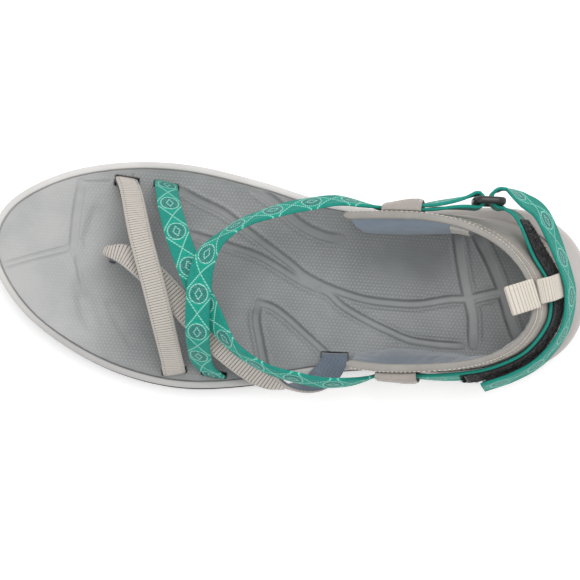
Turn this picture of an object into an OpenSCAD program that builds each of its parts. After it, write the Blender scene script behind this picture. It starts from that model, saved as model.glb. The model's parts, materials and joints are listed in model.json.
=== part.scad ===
/* [Sole] */
// Length of the sole, toe to heel
sole_length = 263.3; // [255:1:270]
// Depth of the tread lugs
lug_depth = 3; // [2:0.5:3.5]
// Thickness of the rubber plate above the lugs
plate_thickness = 2; // [1.5:0.5:2.5]
// Thickness of the footbed at its edge
bed_thickness = 6; // [5.5:0.5:6.5]
// Width of the midsole rim outside the footbed
rim_width = 3.4; // [3:0.2:3.8]
// Rise of the toe above the ground
toe_spring = 9; // [6:1:10]

/* [Straps] */
// Thickness of the woven webbing
webbing = 1.3; // [1:0.1:1.4]
// Thickness of the soft strap linings
strap_lining = 0.9; // [0.6:0.1:1]
// Width of the ribbed strap over the toes
toe_strap_width = 10; // [9:0.5:11]
// Width of the elastic strap behind the big toe
toe_loop_width = 11; // [10:0.5:12]
// Width of the two crossed instep straps
instep_width = 10.5; // [9:0.5:11]
// Width of the heel strap and its closure
heel_strap_width = 15; // [13:0.5:16]
// Width of the pull tab and strap keeper
tab_width = 12.5; // [11:0.5:14]

/* [Heel counter] */
// Thickness of the outer leather
leather = 1.1; // [0.9:0.1:1.2]
// Thickness of the stiffener behind the leather
stiffener = 1; // [0.8:0.1:1.1]
// Thickness of the foam padding
foam = 4.2; // [3:0.2:4.2]
// Thickness of the textile lining
lining = 0.9; // [0.7:0.1:1]

/* [Buckle ring] */
// Diameter of the ring's bars
bar_d = 3.2; // [2.8:0.2:3.4]
// Distance between the ring's two upright bars
bar_gap = 10.6; // [10:0.2:11]
// Clear height between the ring's end bars
ring_clear_height = 17; // [16.5:0.5:18]

/* [Hidden] */

rubber = [0.09, 0.10, 0.10];
pale_foam = [0.80, 0.80, 0.78];
grey_foam = [0.55, 0.57, 0.57];
taupe = [0.63, 0.59, 0.55];
blue_grey = [0.48, 0.54, 0.60];
beige = [0.82, 0.78, 0.73];
teal = [0.08, 0.60, 0.48];
black = [0.05, 0.05, 0.06];

model_length = 263.3;
stretch = sole_length / model_length;
gap = 1.3;
lining_gap = 0.16;
edge_steps = 96;
strap_steps_per_row = 5;

// Outline of the sole, from the toe tip round each side to the heel tip.
medial_edge = [
  [-131.6, 7], [-129, 21], [-118.5, 33], [-98, 43.7], [-72, 49.4], [-45, 49.7], [-15, 44.8],
  [14, 38.2], [45, 36.2], [78, 40.2], [105, 39.8], [124, 28], [131.6, 7]
];
lateral_edge = [
  [-131.6, 7], [-126.5, -7], [-113, -23], [-92, -36.5], [-68, -45.5], [-42, -48.9], [-14, -45.7],
  [12, -39], [42, -34.2], [76, -34.5], [104, -31.4], [124.5, -17], [131.6, 7]
];
// Height of the footbed along its middle, and how far its edges stand above that.
bed_profile = [
  [-132, 24], [-104, 20.5], [-76, 18.5], [-44, 19.5], [-4, 22], [40, 25], [84, 26], [132, 27.5]
];
cup_profile = [[-132, 1], [-92, 2.5], [-50, 3.5], [0, 5.5], [46, 7], [100, 6], [132, 5]];

// Heel counter: where its outer face leaves the sole and where its top edge lies,
// from the medial front end round the heel to the lateral front end.
counter_rows = [
  [31, 32.4, 21.5, 31.4, 62], [45, 32.2, 38, 32.8, 64], [62, 33.4, 56, 33.2, 66],
  [82, 36.2, 73, 30.4, 69], [100, 35.6, 87, 24, 73.5], [115, 28.6, 96.6, 15.4, 77],
  [124.3, 18.3, 102.4, 6, 79.5], [127.6, 6, 104.4, -2.5, 80.5], [125.2, -6.7, 103.6, -10.7, 80],
  [117, -18.5, 98, -19.7, 77], [102, -26.5, 88.3, -26.4, 73], [83, -30.4, 75, -30.9, 69.5],
  [64, -30.4, 57.5, -33.7, 66.5], [46, -30.2, 42, -34.9, 64], [31, -31.6, 27.5, -34.2, 62]
];
counter_base = 19.4;
counter_last = len(counter_rows) - 1;
counter_steps = 42;
heel_row = 6.4;

function unit(v) = v / norm(v);
function mix(a, b, share) = a + (b - a) * share;
function flat(v) = [v.x, v.y, 0];

// Smooth curve through a list of points: t runs from 0 to the last index.
function cubic(a, b, c, d, f) =
  0.5 * (2 * b + (c - a) * f + (2 * a - 5 * b + 4 * c - d) * f * f + (3 * b - a - 3 * c + d) * f * f * f);
function curve_at(p, t) =
  let (
    last = len(p) - 1,
    i = max(0, min(floor(t), last - 1)),
    before = i > 0 ? p[i - 1] : 2 * p[0] - p[1],
    after = i + 2 <= last ? p[i + 2] : 2 * p[last] - p[last - 1]
  )
  cubic(before, p[i], p[i + 1], after, t - i);
function ring_at(p, t) =
  let (n = len(p), i = floor(t))
  cubic(p[(i + n - 1) % n], p[i % n], p[(i + 1) % n], p[(i + 2) % n], t - i);
function samples(p, n) = [for (i = [0 : n]) curve_at(p, i * (len(p) - 1) / n)];

edge_loop = concat(medial_edge, [for (i = [len(lateral_edge) - 2 : -1 : 1]) lateral_edge[i]]);
edge_points = [
  for (i = [0 : edge_steps - 1])
    let (p = ring_at(edge_loop, (i + 0.5) * len(edge_loop) / edge_steps)) [p.x * stretch, p.y]
];
edge_out = [
  for (i = [0 : edge_steps - 1])
    let (d = unit(edge_points[(i + 1) % edge_steps] - edge_points[(i + edge_steps - 1) % edge_steps]))
    [-d.y, d.x]
];
function inset(i, d) = edge_points[i] - edge_out[i] * d;

medial_line = samples(medial_edge, 60);
lateral_line = samples(lateral_edge, 60);
bed_line = samples(bed_profile, 40);
cup_line = samples(cup_profile, 40);

bed_inset = rim_width + 0.2;
// Footbed surface: share runs from 0 along its middle to 1 at its edge.
function bed_middle(p) = lookup(p.x / stretch, bed_line);
function bed_dish(p, share) = bed_middle(p) + lookup(p.x / stretch, cup_line) * pow(share, 2.4);
function rim_height(p) = bed_dish(p, 1);
function bed_floor(p) = bed_middle(p) - bed_thickness;
function bed_height(p) =
  let (
    m = lookup(p.x / stretch, medial_line) - bed_inset,
    l = lookup(p.x / stretch, lateral_line) + bed_inset
  )
  bed_dish(p, min(1, abs(2 * p.y - m - l) / max(10, m - l)));
function ground_lift(x) =
  x < -70 ? toe_spring * pow((-70 - x) / 61.6, 2) : x > 110 ? 2.5 * pow((x - 110) / 21.6, 2) : 0;
function plate_top(x) = ground_lift(x) + lug_depth + plate_thickness;

// Closed solid through a stack of rings with the same number of points each.
// Each end is closed by joining the first points to the last ones, pair by pair, and the
// two halves of a ring are split along matching diagonals so that layers nest.
module loft(rings, flip = false) {
  m = len(rings[0]);
  h = floor(m / 2);
  top = (len(rings) - 1) * m;
  sides = [
    for (r = [0 : len(rings) - 2]) for (j = [0 : m - 1])
      let (a = r * m + j, b = r * m + (j + 1) % m)
      each j < h ? [[a, b, b + m], [a, b + m, a + m]] : [[a, b, a + m], [b, b + m, a + m]]
  ];
  ends = [
    for (j = [0 : h - 2])
      each [
        [j, m - 1 - j, m - 2 - j], [j, m - 2 - j, j + 1],
        [top + j, top + j + 1, top + m - 2 - j], [top + j, top + m - 2 - j, top + m - 1 - j]
      ]
  ];
  faces = concat(sides, ends);
  polyhedron(
    points = [for (r = rings) each r],
    faces = flip ? [for (f = faces) [f[2], f[1], f[0]]] : faces
  );
}

// Ring of the sole's outline drawn in by d (a number, or a function of x), at height z(point).
function level(d, z) = [
  for (i = [0 : edge_steps - 1])
    let (p = inset(i, is_num(d) ? d : d(edge_points[i].x))) [p.x, p.y, z(p)]
];
function ease(share) = let (s = max(0, min(1, share))) s * s * (3 - 2 * s);
// The rim widens behind the arch into a shelf that the heel counter stands in.
heel_shelf = 5.4;
rim_inner = function (x) rim_width + heel_shelf * ease((x - 55) / 50);

/* Straps: each path row is [x, y, z, facing x, y, z, width]. */
function strap_frames(rows, steps) =
  let (
    n = (len(rows) - 1) * steps,
    s = samples(rows, n)
  )
  [
    for (i = [0 : n])
      let (
        p = [s[i][0], s[i][1], s[i][2]],
        q0 = s[max(i - 1, 0)],
        q1 = s[min(i + 1, n)],
        along = unit([q1[0] - q0[0], q1[1] - q0[1], q1[2] - q0[2]]),
        facing = [s[i][3], s[i][4], s[i][5]],
        n_face = unit(facing - along * (facing * along))
      )
      [p, cross(along, n_face), n_face, s[i][6]]
  ];
function strap_section(f, low, high, narrow = 0) =
  let (half = f[1] * (f[3] / 2 - narrow))
  [
    f[0] - half + f[2] * low, f[0] + half + f[2] * low,
    f[0] + half + f[2] * high, f[0] - half + f[2] * high
  ];
module strap(rows, low, high, narrow = 0, steps = strap_steps_per_row) {
  loft([for (f = strap_frames(rows, steps)) strap_section(f, low, high, narrow)]);
}

// A strap end standing in its slot: [x, y, facing angle, width].
function tail_low(a) =
  let (z = bed_floor(a) - 3.6) [a[0], a[1], z, cos(a[2]), sin(a[2]), 0, a[3]];
function tail_high(a) =
  let (z = bed_height(a) + 1.2) [a[0], a[1], z, cos(a[2]), sin(a[2]), 0, a[3]];

toe_strap_medial = [-74, 40, 85, toe_strap_width];
toe_strap_lateral = [-46.5, -41.5, -78, toe_strap_width];
toe_post = [-77, 7, 170, 5];
toe_loop_lateral = [23, -29.2, -88, toe_loop_width];
under_medial = [-56.5, 39.5, 82, instep_width];
over_lateral = [-29, -41.3, -96, instep_width];
strap_slots = [
  toe_strap_medial, toe_strap_lateral, toe_post, toe_loop_lateral, under_medial, over_lateral
];

toe_strap_rows = [
  tail_low(toe_strap_medial), tail_high(toe_strap_medial),
  [-70.5, 33, 34, 0.1, 0.8, 0.5, toe_strap_width],
  [-64.5, 15, 45.5, 0, 0.3, 0.95, toe_strap_width],
  [-58, -3, 48, 0, 0, 1, toe_strap_width],
  [-52, -21, 44.5, 0, -0.35, 0.9, toe_strap_width],
  [-47.5, -36, 33, 0, -0.85, 0.5, toe_strap_width],
  tail_high(toe_strap_lateral), tail_low(toe_strap_lateral)
];
toe_loop_rows = [
  tail_low(toe_post), tail_high(toe_post),
  [-79.5, 8, 30, -0.95, 0.2, 0.15, 4],
  [-77.5, 8, 37, -0.7, 0.2, 0.7, 5.5],
  [-69.5, 6.3, 41.3, -0.1, 0.2, 1, 9.5],
  [-56.5, -2.5, 43, 0, 0, 1, toe_loop_width],
  [-40.5, -17, 43, 0.1, -0.1, 1, toe_loop_width],
  [-28.5, -27.5, 41.5, 0.25, -0.45, 0.85, toe_loop_width],
  [-15, -37, 38.5, 0.25, -0.65, 0.75, toe_loop_width],
  [-4.5, -42.3, 36, 0.1, -0.85, 0.55, toe_loop_width],
  [4.5, -44, 35.2, 0, -0.98, -0.05, toe_loop_width],
  [13.5, -42.3, 35.6, 0.1, -0.75, -0.6, toe_loop_width],
  [20, -37.5, 34.9, 0.1, -0.3, -0.95, toe_loop_width],
  [22.7, -32.4, 32.4, 0, -0.5, -0.85, toe_loop_width],
  tail_high(toe_loop_lateral), tail_low(toe_loop_lateral)
];
instep_under_rows = [
  tail_low(under_medial), tail_high(under_medial),
  [-54, 31, 38.5, 0.1, 0.85, 0.45, instep_width],
  [-48.6, 17, 51.5, 0, 0.4, 0.9, instep_width],
  [-40.5, 0, 57.5, 0.05, 0, 1, instep_width],
  [-32, -14.5, 56, -0.3, -0.25, 0.92, instep_width],
  [-21.8, -27.3, 54, -0.6, -0.68, 0.42, instep_width],
  [-9, -35.6, 51.5, -0.3, -0.9, 0.3, instep_width],
  [9, -40, 50.5, 0.08, -0.95, 0.35, instep_width],
  [27, -40.2, 49, 0, -0.95, 0.3, instep_width],
  strap_row(12.9, 47.3, 0.5, instep_width)
];
instep_over_rows = [
  tail_low(over_lateral), tail_high(over_lateral),
  [-34.5, -35.5, 37, -0.25, -0.85, 0.45, instep_width],
  [-36.5, -23, 55.5, -0.1, -0.55, 0.85, instep_width],
  [-37, -6.5, 62, 0, -0.1, 1, instep_width],
  [-35.4, 5.6, 62.8, -0.4, 0.12, 0.95, instep_width],
  [-29, 15.9, 61.2, -0.7, 0.55, 0.48, instep_width],
  [-17.8, 24.3, 59.6, -0.45, 0.8, 0.4, instep_width],
  [-1.5, 31, 57, -0.15, 0.85, 0.5, instep_width],
  [19, 35.8, 53.6, 0, 0.9, 0.4, instep_width],
  strap_row(0.95, 50, 0.5, instep_width)
];

/* Heel counter surface: row number k, height share v, distance d outside the outer face. */
function counter_bulge(k) = 0.6 + 1.4 * sin(180 * k / counter_last);
function counter_skin(k, v) =
  let (r = curve_at(counter_rows, k), p = mix([r[0], r[1]], [r[2], r[3]], v))
  [p.x * stretch, p.y, mix(counter_base, r[4], v)];
function counter_out(k, v) =
  let (d = unit(flat(counter_skin(min(k + 0.2, counter_last), v) - counter_skin(max(k - 0.2, 0), v))))
  [-d.y, d.x, 0];
function on_counter(k, v, d) =
  counter_skin(k, v) + counter_out(k, v) * (d + counter_bulge(k) * sin(180 * v));
function height_share(k, z) =
  (z - counter_base) / (curve_at(counter_rows, k)[4] - counter_base);
function beside_counter(k, z, d) = on_counter(k, height_share(k, z), d);

// Piece of the counter between rows k0 and k1 and height shares v0 and v1.
// inner and outer give its two faces' distance outside the counter's own outer face.
module counter_layer(k0, k1, v0, v1, inner, outer, steps, levels = 5) {
  loft(
    [
      for (i = [0 : steps])
        let (k = mix(k0, k1, i / steps))
        concat(
          [for (j = [0 : levels]) let (v = mix(v0, v1, j / levels)) on_counter(k, v, outer(k, v))],
          [for (j = [levels : -1 : 0]) let (v = mix(v0, v1, j / levels)) on_counter(k, v, inner(k, v))]
        )
    ],
    flip = true
  );
}

layers_top = 0.94;
leather_in = -leather;
glue = 0.2;
stiffener_out = leather_in - glue;
stiffener_in = stiffener_out - stiffener;
// Above the stiffener the padding lies straight against the leather.
foam_out = function (k, v) leather_in - glue - (stiffener + glue) * (1 - ease((v - 0.72) / 0.18));
// The padding is thickest low on the sides and thins towards the heel and the top edge.
heel_padding = 0.62;
top_padding = 0.2;
function padding(k, v) =
  let (rise = max(0, min(1, (v - 0.3) / (layers_top - 0.3))))
  foam * mix(1, heel_padding, sin(180 * k / counter_last)) * mix(1, top_padding, pow(rise, 1.5));
foam_in = function (k, v) foam_out(k, v) - padding(k, v);
lining_out = function (k, v) foam_in(k, v) - glue;
lining_in = function (k, v) lining_out(k, v) - lining;

/* Heel strap and closure: rows [k, height, distance outside the counter's face]. */
function strap_row(k, z, d, width, tilt = 0) =
  let (
    p = beside_counter(k, z, d),
    up = unit(counter_skin(k, 1) - counter_skin(k, 0)),
    side = counter_out(k, 0.7),
    facing = unit(side - up * (side * up) + [0, 0, tilt])
  )
  [p.x, p.y, p.z, facing.x, facing.y, facing.z, width];

ring_front = [77.6, 40.6, 58.5];
ring_rear = ring_front + [bar_gap, 0.3, 0];
loop_r = 3;
turn_r = 4.1;
turn_centre = ring_rear + [-0.4, 1.2, 0];
turn_end_x = turn_centre.x + 2.4;
inner_d = 1.15;
flap_lift = 5.7;

heel_strap_rows = [
  [turn_end_x + gap, turn_centre.y - turn_r, 58.7, 0.05, 1, 0.05, heel_strap_width],
  [96.6, 34.2, 59.8, 0.5, 0.85, 0.2, heel_strap_width],
  strap_row(5.2, 61.5, inner_d + 0.3, heel_strap_width),
  strap_row(6.1, 62.3, inner_d, heel_strap_width),
  strap_row(7, 62.5, inner_d, heel_strap_width),
  strap_row(8, 62, inner_d, heel_strap_width),
  strap_row(9, 60, inner_d + 0.2, heel_strap_width, 0.04),
  strap_row(10, 57.5, inner_d + 0.8, heel_strap_width, 0.12),
  strap_row(11, 55, inner_d + 1.1, heel_strap_width, 0.17),
  strap_row(12, 52.5, inner_d + 0.9, heel_strap_width, 0.12),
  strap_row(12.6, 51.3, inner_d + 0.5, heel_strap_width, 0.06)
];
turn_rows = [
  [turn_end_x, turn_centre.y - turn_r, 58.7, 0, -1, 0, heel_strap_width],
  for (a = [-90 : -22.5 : -270])
    [
      turn_centre.x + turn_r * cos(a), turn_centre.y + turn_r * sin(a), turn_centre.z,
      cos(a), sin(a), 0, heel_strap_width
    ],
  [turn_end_x, turn_centre.y + turn_r, 58.3, 0, 1, 0, heel_strap_width]
];
flap_rows = [
  [turn_end_x + gap, turn_centre.y + turn_r, 58.3, 0.1, 1, 0.12, heel_strap_width],
  [98, 42.4, 58.4, 0.4, 0.8, 0.45, heel_strap_width],
  [107, 35.6, 58.2, 0.6, 0.62, 0.5, heel_strap_width],
  strap_row(6.1, 57.6, flap_lift + 0.6, heel_strap_width),
  strap_row(7, 57.4, flap_lift, heel_strap_width),
  strap_row(8, 56.8, flap_lift, heel_strap_width),
  strap_row(9, 55.4, flap_lift + 0.3, heel_strap_width, 0.06),
  strap_row(9.8, 54, flap_lift + 1, heel_strap_width, 0.12),
  strap_row(10.6, 52.2, flap_lift + 2.2, heel_strap_width, 0.16)
];
flap_steps = 6;
flap_frames = strap_frames(flap_rows, flap_steps);
flap_cut_1 = 14;
flap_cut_2 = 33;

module flap_piece(from, to, low, high, narrow = 0) {
  loft([for (i = [from : to]) strap_section(flap_frames[i], low, high, narrow)]);
}

// Webbing loop round the front bar: out of the side tunnel, round the bar and back.
loop_end_z = 51.5;
loop_outer_d = 2.4;
loop_inner_d = 0.84;
function turned(row) = [row[0], row[1], row[2], -row[3], -row[4], -row[5], row[6]];
loop_rows = [
  strap_row(1.5, loop_end_z, loop_outer_d, heel_strap_width),
  [60.5, 38.4, 54.2, -0.17, 0.97, 0.15, heel_strap_width],
  [71, 40.9, 57.6, -0.25, 0.97, 0.1, heel_strap_width],
  for (a = [100 : -32 : -92])
    [
      ring_front.x + loop_r * cos(a), ring_front.y + loop_r * sin(a), ring_front.z,
      cos(a), sin(a), 0, heel_strap_width
    ],
  [71.5, 37.4, 57.6, 0.1, -1, 0, heel_strap_width],
  [61, 36.2, 54.2, 0.08, -0.98, -0.1, heel_strap_width],
  turned(strap_row(1.5, loop_end_z, loop_inner_d, heel_strap_width))
];

/* Soles */
module lugs() {
  lug_step = 3;
  lug_height = lug_depth + plate_thickness / 2;
  reach = 9.5;
  for (i = [1 : lug_step : edge_steps - lug_step]) {
    a = inset(i, 1.2);
    b = inset(i + lug_step - 1, 1.2);
    low = max(ground_lift(a.x), ground_lift(b.x));
    translate([0, 0, low])
      linear_extrude(lug_height) polygon([a, b, inset(i + lug_step - 1, reach), inset(i, reach)]);
  }
  for (x = [-104 : 14 : 106]) {
    m = lookup(x, medial_line) - 13;
    l = lookup(x, lateral_line) + 13;
    mid = (m + l) / 2;
    translate([x * stretch, 0, ground_lift(x * stretch)])
      linear_extrude(lug_height)
        polygon([[-4, mid], [3, m], [9, m], [2, mid], [9, l], [3, l]]);
  }
}

module outsole() {
  color(rubber) {
    loft([
      level(0.6, function (p) ground_lift(p.x) + lug_depth),
      level(0, function (p) ground_lift(p.x) + lug_depth + 0.8),
      level(0, function (p) plate_top(p.x))
    ]);
    intersection() {
      lugs();
      loft([
        level(0.3, function (p) -1),
        level(0.3, function (p) ground_lift(p.x) + lug_depth + 0.8)
      ]);
    }
  }
}

shank_x = -18;
shank_length = 84;
shank_width = 22;
shank_thickness = 1.6;
module shank_shape(grow) {
  translate([shank_x, 1 - shank_width / 2 - grow])
    translate([-grow, 0]) square([shank_length + 2 * grow, shank_width + 2 * grow]);
}

module strap_slot(a) {
  slot_clear = 0.5;
  slot_depth = 40;
  slot_thickness = webbing + strap_lining + 1;
  translate([a[0], a[1], bed_floor(a) - 4 + slot_depth / 2])
    rotate([0, 0, a[2]])
      cube([slot_thickness, a[3] + 2 * slot_clear, slot_depth], center = true);
}

// Room for a strap end where it goes into the sole: the strap's first or last steps, made larger.
module strap_space(rows, at_end) {
  spare = 0.35;
  frames = strap_frames(rows, strap_steps_per_row);
  count = 2 * strap_steps_per_row;
  last = len(frames) - 1;
  loft([
    for (i = at_end ? [last - count : last] : [0 : count])
      strap_section(frames[i], -strap_lining - spare, webbing + spare, -2 * spare)
  ]);
}
module strap_spaces() {
  for (a = strap_slots) strap_slot(a);
  for (rows = [toe_strap_rows, toe_loop_rows, instep_under_rows, instep_over_rows])
    strap_space(rows, false);
  for (rows = [toe_strap_rows, toe_loop_rows]) strap_space(rows, true);
}
// Lasting channel that the heel counter stands in, out to a distance beyond its outer face.
module counter_channel(outer) {
  clear = 0.15;
  past_end = 0.05;
  channel_top = 0.36;
  counter_layer(
    -past_end, counter_last + past_end, -0.005, channel_top,
    function (k, v) lining_in(k, max(v, 0)) - clear, function (k, v) outer, counter_steps, 3
  );
}

module midsole() {
  waist = 2.2;
  glue_line = 0.16;
  color(pale_foam)
    difference() {
      loft([
        level(0.4, function (p) plate_top(p.x) + glue_line),
        level(waist, function (p) mix(plate_top(p.x), rim_height(p), 0.35)),
        level(waist - 0.4, function (p) mix(plate_top(p.x), rim_height(p), 0.6)),
        level(0.6, function (p) rim_height(p) - 2),
        level(1.3, function (p) rim_height(p) + 0.2),
        level(rim_inner, function (p) rim_height(p) - 0.3),
        level(rim_inner, function (p) bed_floor(p))
      ]);
      translate([0, 0, plate_top(0) - 1]) linear_extrude(1 + shank_thickness + 0.2) shank_shape(0.3);
      strap_spaces();
      counter_channel(0.15);
    }
}

module arch_shank() {
  color(black)
    translate([0, 0, plate_top(0)])
      linear_extrude(shank_thickness) shank_shape(0);
}

function bed_ring(share, z) = [
  for (i = [0 : edge_steps - 1])
    let (
      edge = inset(i, bed_inset),
      mate = inset(edge_steps - 1 - i, bed_inset),
      p = mix((edge + mate) / 2, edge, share)
    )
    [p.x, p.y, z(p)]
];

module footbed() {
  color(grey_foam)
    difference() {
      loft([
        bed_ring(1, function (p) bed_floor(p) + 0.1),
        bed_ring(1, function (p) rim_height(p) - 0.8),
        for (share = [0.97, 0.82, 0.62, 0.4, 0.04]) bed_ring(share, function (p) bed_dish(p, share))
      ]);
      strap_spaces();
      counter_channel(10);
      for (g = bed_grooves) bed_groove(g[0], g[1]);
    }
}

// Moulded channels in the footbed: [width, points].
bed_grooves = [
  [4, [[-50, 36], [-22, 21], [0, -1], [24, -9], [52, -9.5], [90, -1]]],
  [4, [[-50, 18], [-22, 10], [2, -3], [14, -14], [40, -25], [72, -22]]],
  [4, [[-22, 35], [0, 26], [20, 15]]],
  [4, [[-20, -42], [-16, -14], [14, -34]]],
  [4.5, [[60, 20], [68, -8], [73, -27]]],
  [4.5, [[78, 22], [88, -8], [93, -25]]]
];
module bed_groove(width, points) {
  steps = 4 * (len(points) - 1);
  s = samples(points, steps);
  loft([
    for (i = [0 : steps])
      let (
        d = unit(s[min(i + 1, steps)] - s[max(i - 1, 0)]),
        n = [-d.y, d.x] * width / 2,
        l = s[i] + n,
        r = s[i] - n
      )
      [
        [l.x, l.y, bed_height(l) + 2], [s[i].x, s[i].y, bed_height(s[i]) - 1.6],
        [s[i].x, s[i].y, bed_height(s[i]) - 1.59], [r.x, r.y, bed_height(r) + 2]
      ]
  ]);
}

/* Forefoot straps */
module toe_strap() {
  color(beige) strap(toe_strap_rows, 0, webbing);
}
module toe_strap_lining() {
  color(black) strap(toe_strap_rows, -strap_lining, -lining_gap, narrow = 0.4);
}
module toe_loop_strap() {
  color(beige) strap(toe_loop_rows, 0, webbing);
}
module toe_loop_lining() {
  color(blue_grey) strap(toe_loop_rows, -strap_lining, -lining_gap, narrow = 0.4);
}
module instep_strap_under() {
  color(teal) strap(instep_under_rows, 0, webbing);
}
module instep_strap_over() {
  color(teal) strap(instep_over_rows, 0, webbing);
}

/* Heel counter */
module heel_counter_leather() {
  color(taupe) counter_layer(
    0, counter_last, 0, layers_top, function (k, v) leather_in, function (k, v) 0, counter_steps
  );
}
module heel_stiffener() {
  color(black) counter_layer(
    3, counter_last - 3, 0, 0.7, function (k, v) stiffener_in, function (k, v) stiffener_out, 24, 4
  );
}
module counter_foam() {
  color(pale_foam) counter_layer(
    0.1, counter_last - 0.1, 0.02, layers_top, foam_in, foam_out, counter_steps, 9
  );
}
module heel_lining() {
  color(taupe) counter_layer(3.6, counter_last - 4.1, 0.05, layers_top, lining_in, lining_out, 22, 9);
}
module medial_ankle_lining() {
  color(blue_grey) counter_layer(0.1, 3.5, 0.05, layers_top, lining_in, lining_out, 12, 9);
}
module lateral_ankle_lining() {
  color(blue_grey) counter_layer(
    counter_last - 4, counter_last - 0.1, 0.05, layers_top, lining_in, lining_out, 12, 9
  );
}
module collar_binding() {
  low = layers_top + 0.003;
  color(beige)
    loft([
      for (i = [0 : counter_steps])
        let (k = mix(0, counter_last, i / counter_steps), back = lining_in(k, layers_top))
        [
          on_counter(k, low, back - 0.2), on_counter(k, 0.985, back - 0.2), on_counter(k, 1, back + 0.7),
          on_counter(k, 1, -0.6), on_counter(k, 0.985, 0.3), on_counter(k, low, 0.3)
        ]
    ]);
}

// Leather tunnel over the strap ends, sewn down at its top and bottom. It tapers to a
// share of its height at the low end.
module side_panel(k0, k1, low_end, low_share, tunnel, power) {
  panel_low = 0.42;
  panel_high = 0.935;
  taper = function (k) low_share + (1 - low_share) * ease(abs(k - low_end) / (k1 - k0) / 0.75);
  lift = function (k, v)
    0.25 + tunnel * taper(k) * pow(max(0, sin(180 * (v - panel_low) / (panel_high - panel_low))), power);
  raised = function (k, v) lift(k, v) + 1;
  color(taupe) counter_layer(k0, k1, panel_low, panel_high, lift, raised, 8, 10);
}
module medial_side_panel() {
  side_panel(0.95, 1.88, 0.95, 0.6, 4.8, 0.3);
}
module lateral_side_panel() {
  side_panel(12.05, 13.15, 13.15, 0.85, 4, 0.2);
}

/* Closure */
module ring_webbing_loop() {
  color(teal) strap(loop_rows, -webbing / 2, webbing / 2, steps = 3);
}
module closure_ring() {
  corner = bar_d / 2;
  color(black) {
    for (p = [ring_front, ring_rear])
      translate([p.x, p.y, p.z - ring_clear_height / 2 - corner])
        cylinder(h = ring_clear_height + 2 * corner, d = bar_d, $fn = 32);
    for (side = [-1, 1])
      translate(ring_front + [0, 0, side * (ring_clear_height / 2 + corner)])
        rotate([0, 0, atan2(ring_rear.y - ring_front.y, bar_gap)])
          translate([bar_gap / 2, 0, 0])
            cube([bar_gap + bar_d, bar_d, bar_d], center = true);
  }
}
module heel_strap() {
  color(teal) strap(heel_strap_rows, -webbing / 2, webbing / 2);
}
module loop_tape() {
  first = 7;
  last = 43;
  frames = strap_frames(heel_strap_rows, strap_steps_per_row);
  color(black)
    loft([for (i = [first : last]) strap_section(frames[i], webbing / 2 + 0.12, webbing / 2 + 1, 1)]);
}
module strap_turn() {
  color(teal) strap(turn_rows, -webbing / 2, webbing / 2, steps = 2);
}
module closure_flap_root() {
  color(teal) flap_piece(0, flap_cut_1, -webbing / 2, webbing / 2);
}
module closure_flap_middle() {
  color(teal) flap_piece(flap_cut_1 + 1, flap_cut_2, -webbing / 2, webbing / 2);
}
module closure_flap_tip() {
  color(teal) flap_piece(flap_cut_2 + 1, len(flap_frames) - 1, -webbing / 2, webbing / 2);
}
module hook_tape() {
  color(black) flap_piece(flap_cut_2 + 1, len(flap_frames) - 1, -webbing / 2 - 1, -webbing / 2 - 0.05, 1);
}

// Webbing keeper over the heel strap, sewn to the counter above and below it.
keeper_rows = [
  [78, 0.95], [75.2, 1.3], [73, 3.8], [70, 4.3], [66, 4.2], [60, 3.9], [55, 3.7], [52.4, 2], [48, 0.9],
  [44, 0.9]
];
keeper_thickness = 1.1;
module strap_keeper() {
  rows = [
    for (r = keeper_rows)
      let (p = beside_counter(heel_row, r[0], r[1]), n = counter_out(heel_row, 0.7))
      [p.x, p.y, p.z, n.x, n.y, n.z, tab_width - 2]
  ];
  color(beige) strap(rows, -keeper_thickness / 2, keeper_thickness / 2, steps = 3);
}

// Pull tab: a doubled loop of ribbed webbing hinged on its stitch line at the back of the collar.
tab_hinge = on_counter(heel_row, 1, 0) + [0.2, 0, 1.9];
tab_angle = 22;
tab_out = [cos(tab_angle), sin(tab_angle), 0];
tab_layer = 1.2;
tab_side = [
  [0, 0.2], [2.2, 1.1], [4.2, 2.5], [6.6, 4.1], [9, 5.2], [11, 5.3], [12, 3.9], [10.8, 2.5],
  [8.6, 1.6], [6.4, 0.6], [4.4, -0.4], [2.4, -0.7]
];
module pull_tab() {
  rows = [
    for (s = samples(tab_side, 33))
      let (p = tab_hinge - tab_out * s[0] + [0, 0, s[1]]) p
  ];
  n = len(rows) - 1;
  side = cross(tab_out, [0, 0, 1]) * tab_width / 2;
  color(beige)
    loft([
      for (i = [0 : n])
        let (
          along = unit(rows[min(i + 1, n)] - rows[max(i - 1, 0)]),
          up = cross(unit(side), along) * tab_layer / 2
        )
        [rows[i] - side - up, rows[i] + side - up, rows[i] + side + up, rows[i] - side + up]
    ]);
}

outsole();
midsole();
arch_shank();
footbed();
toe_strap();
toe_strap_lining();
toe_loop_strap();
toe_loop_lining();
instep_strap_under();
instep_strap_over();
heel_counter_leather();
heel_stiffener();
counter_foam();
heel_lining();
medial_ankle_lining();
lateral_ankle_lining();
collar_binding();
medial_side_panel();
lateral_side_panel();
ring_webbing_loop();
closure_ring();
heel_strap();
loop_tape();
strap_turn();
closure_flap_root();
closure_flap_middle();
closure_flap_tip();
hook_tape();
strap_keeper();
pull_tab();
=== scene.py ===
import json
import math
import random

import bmesh
import bpy
import numpy as np
from mathutils import Matrix, Vector


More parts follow.
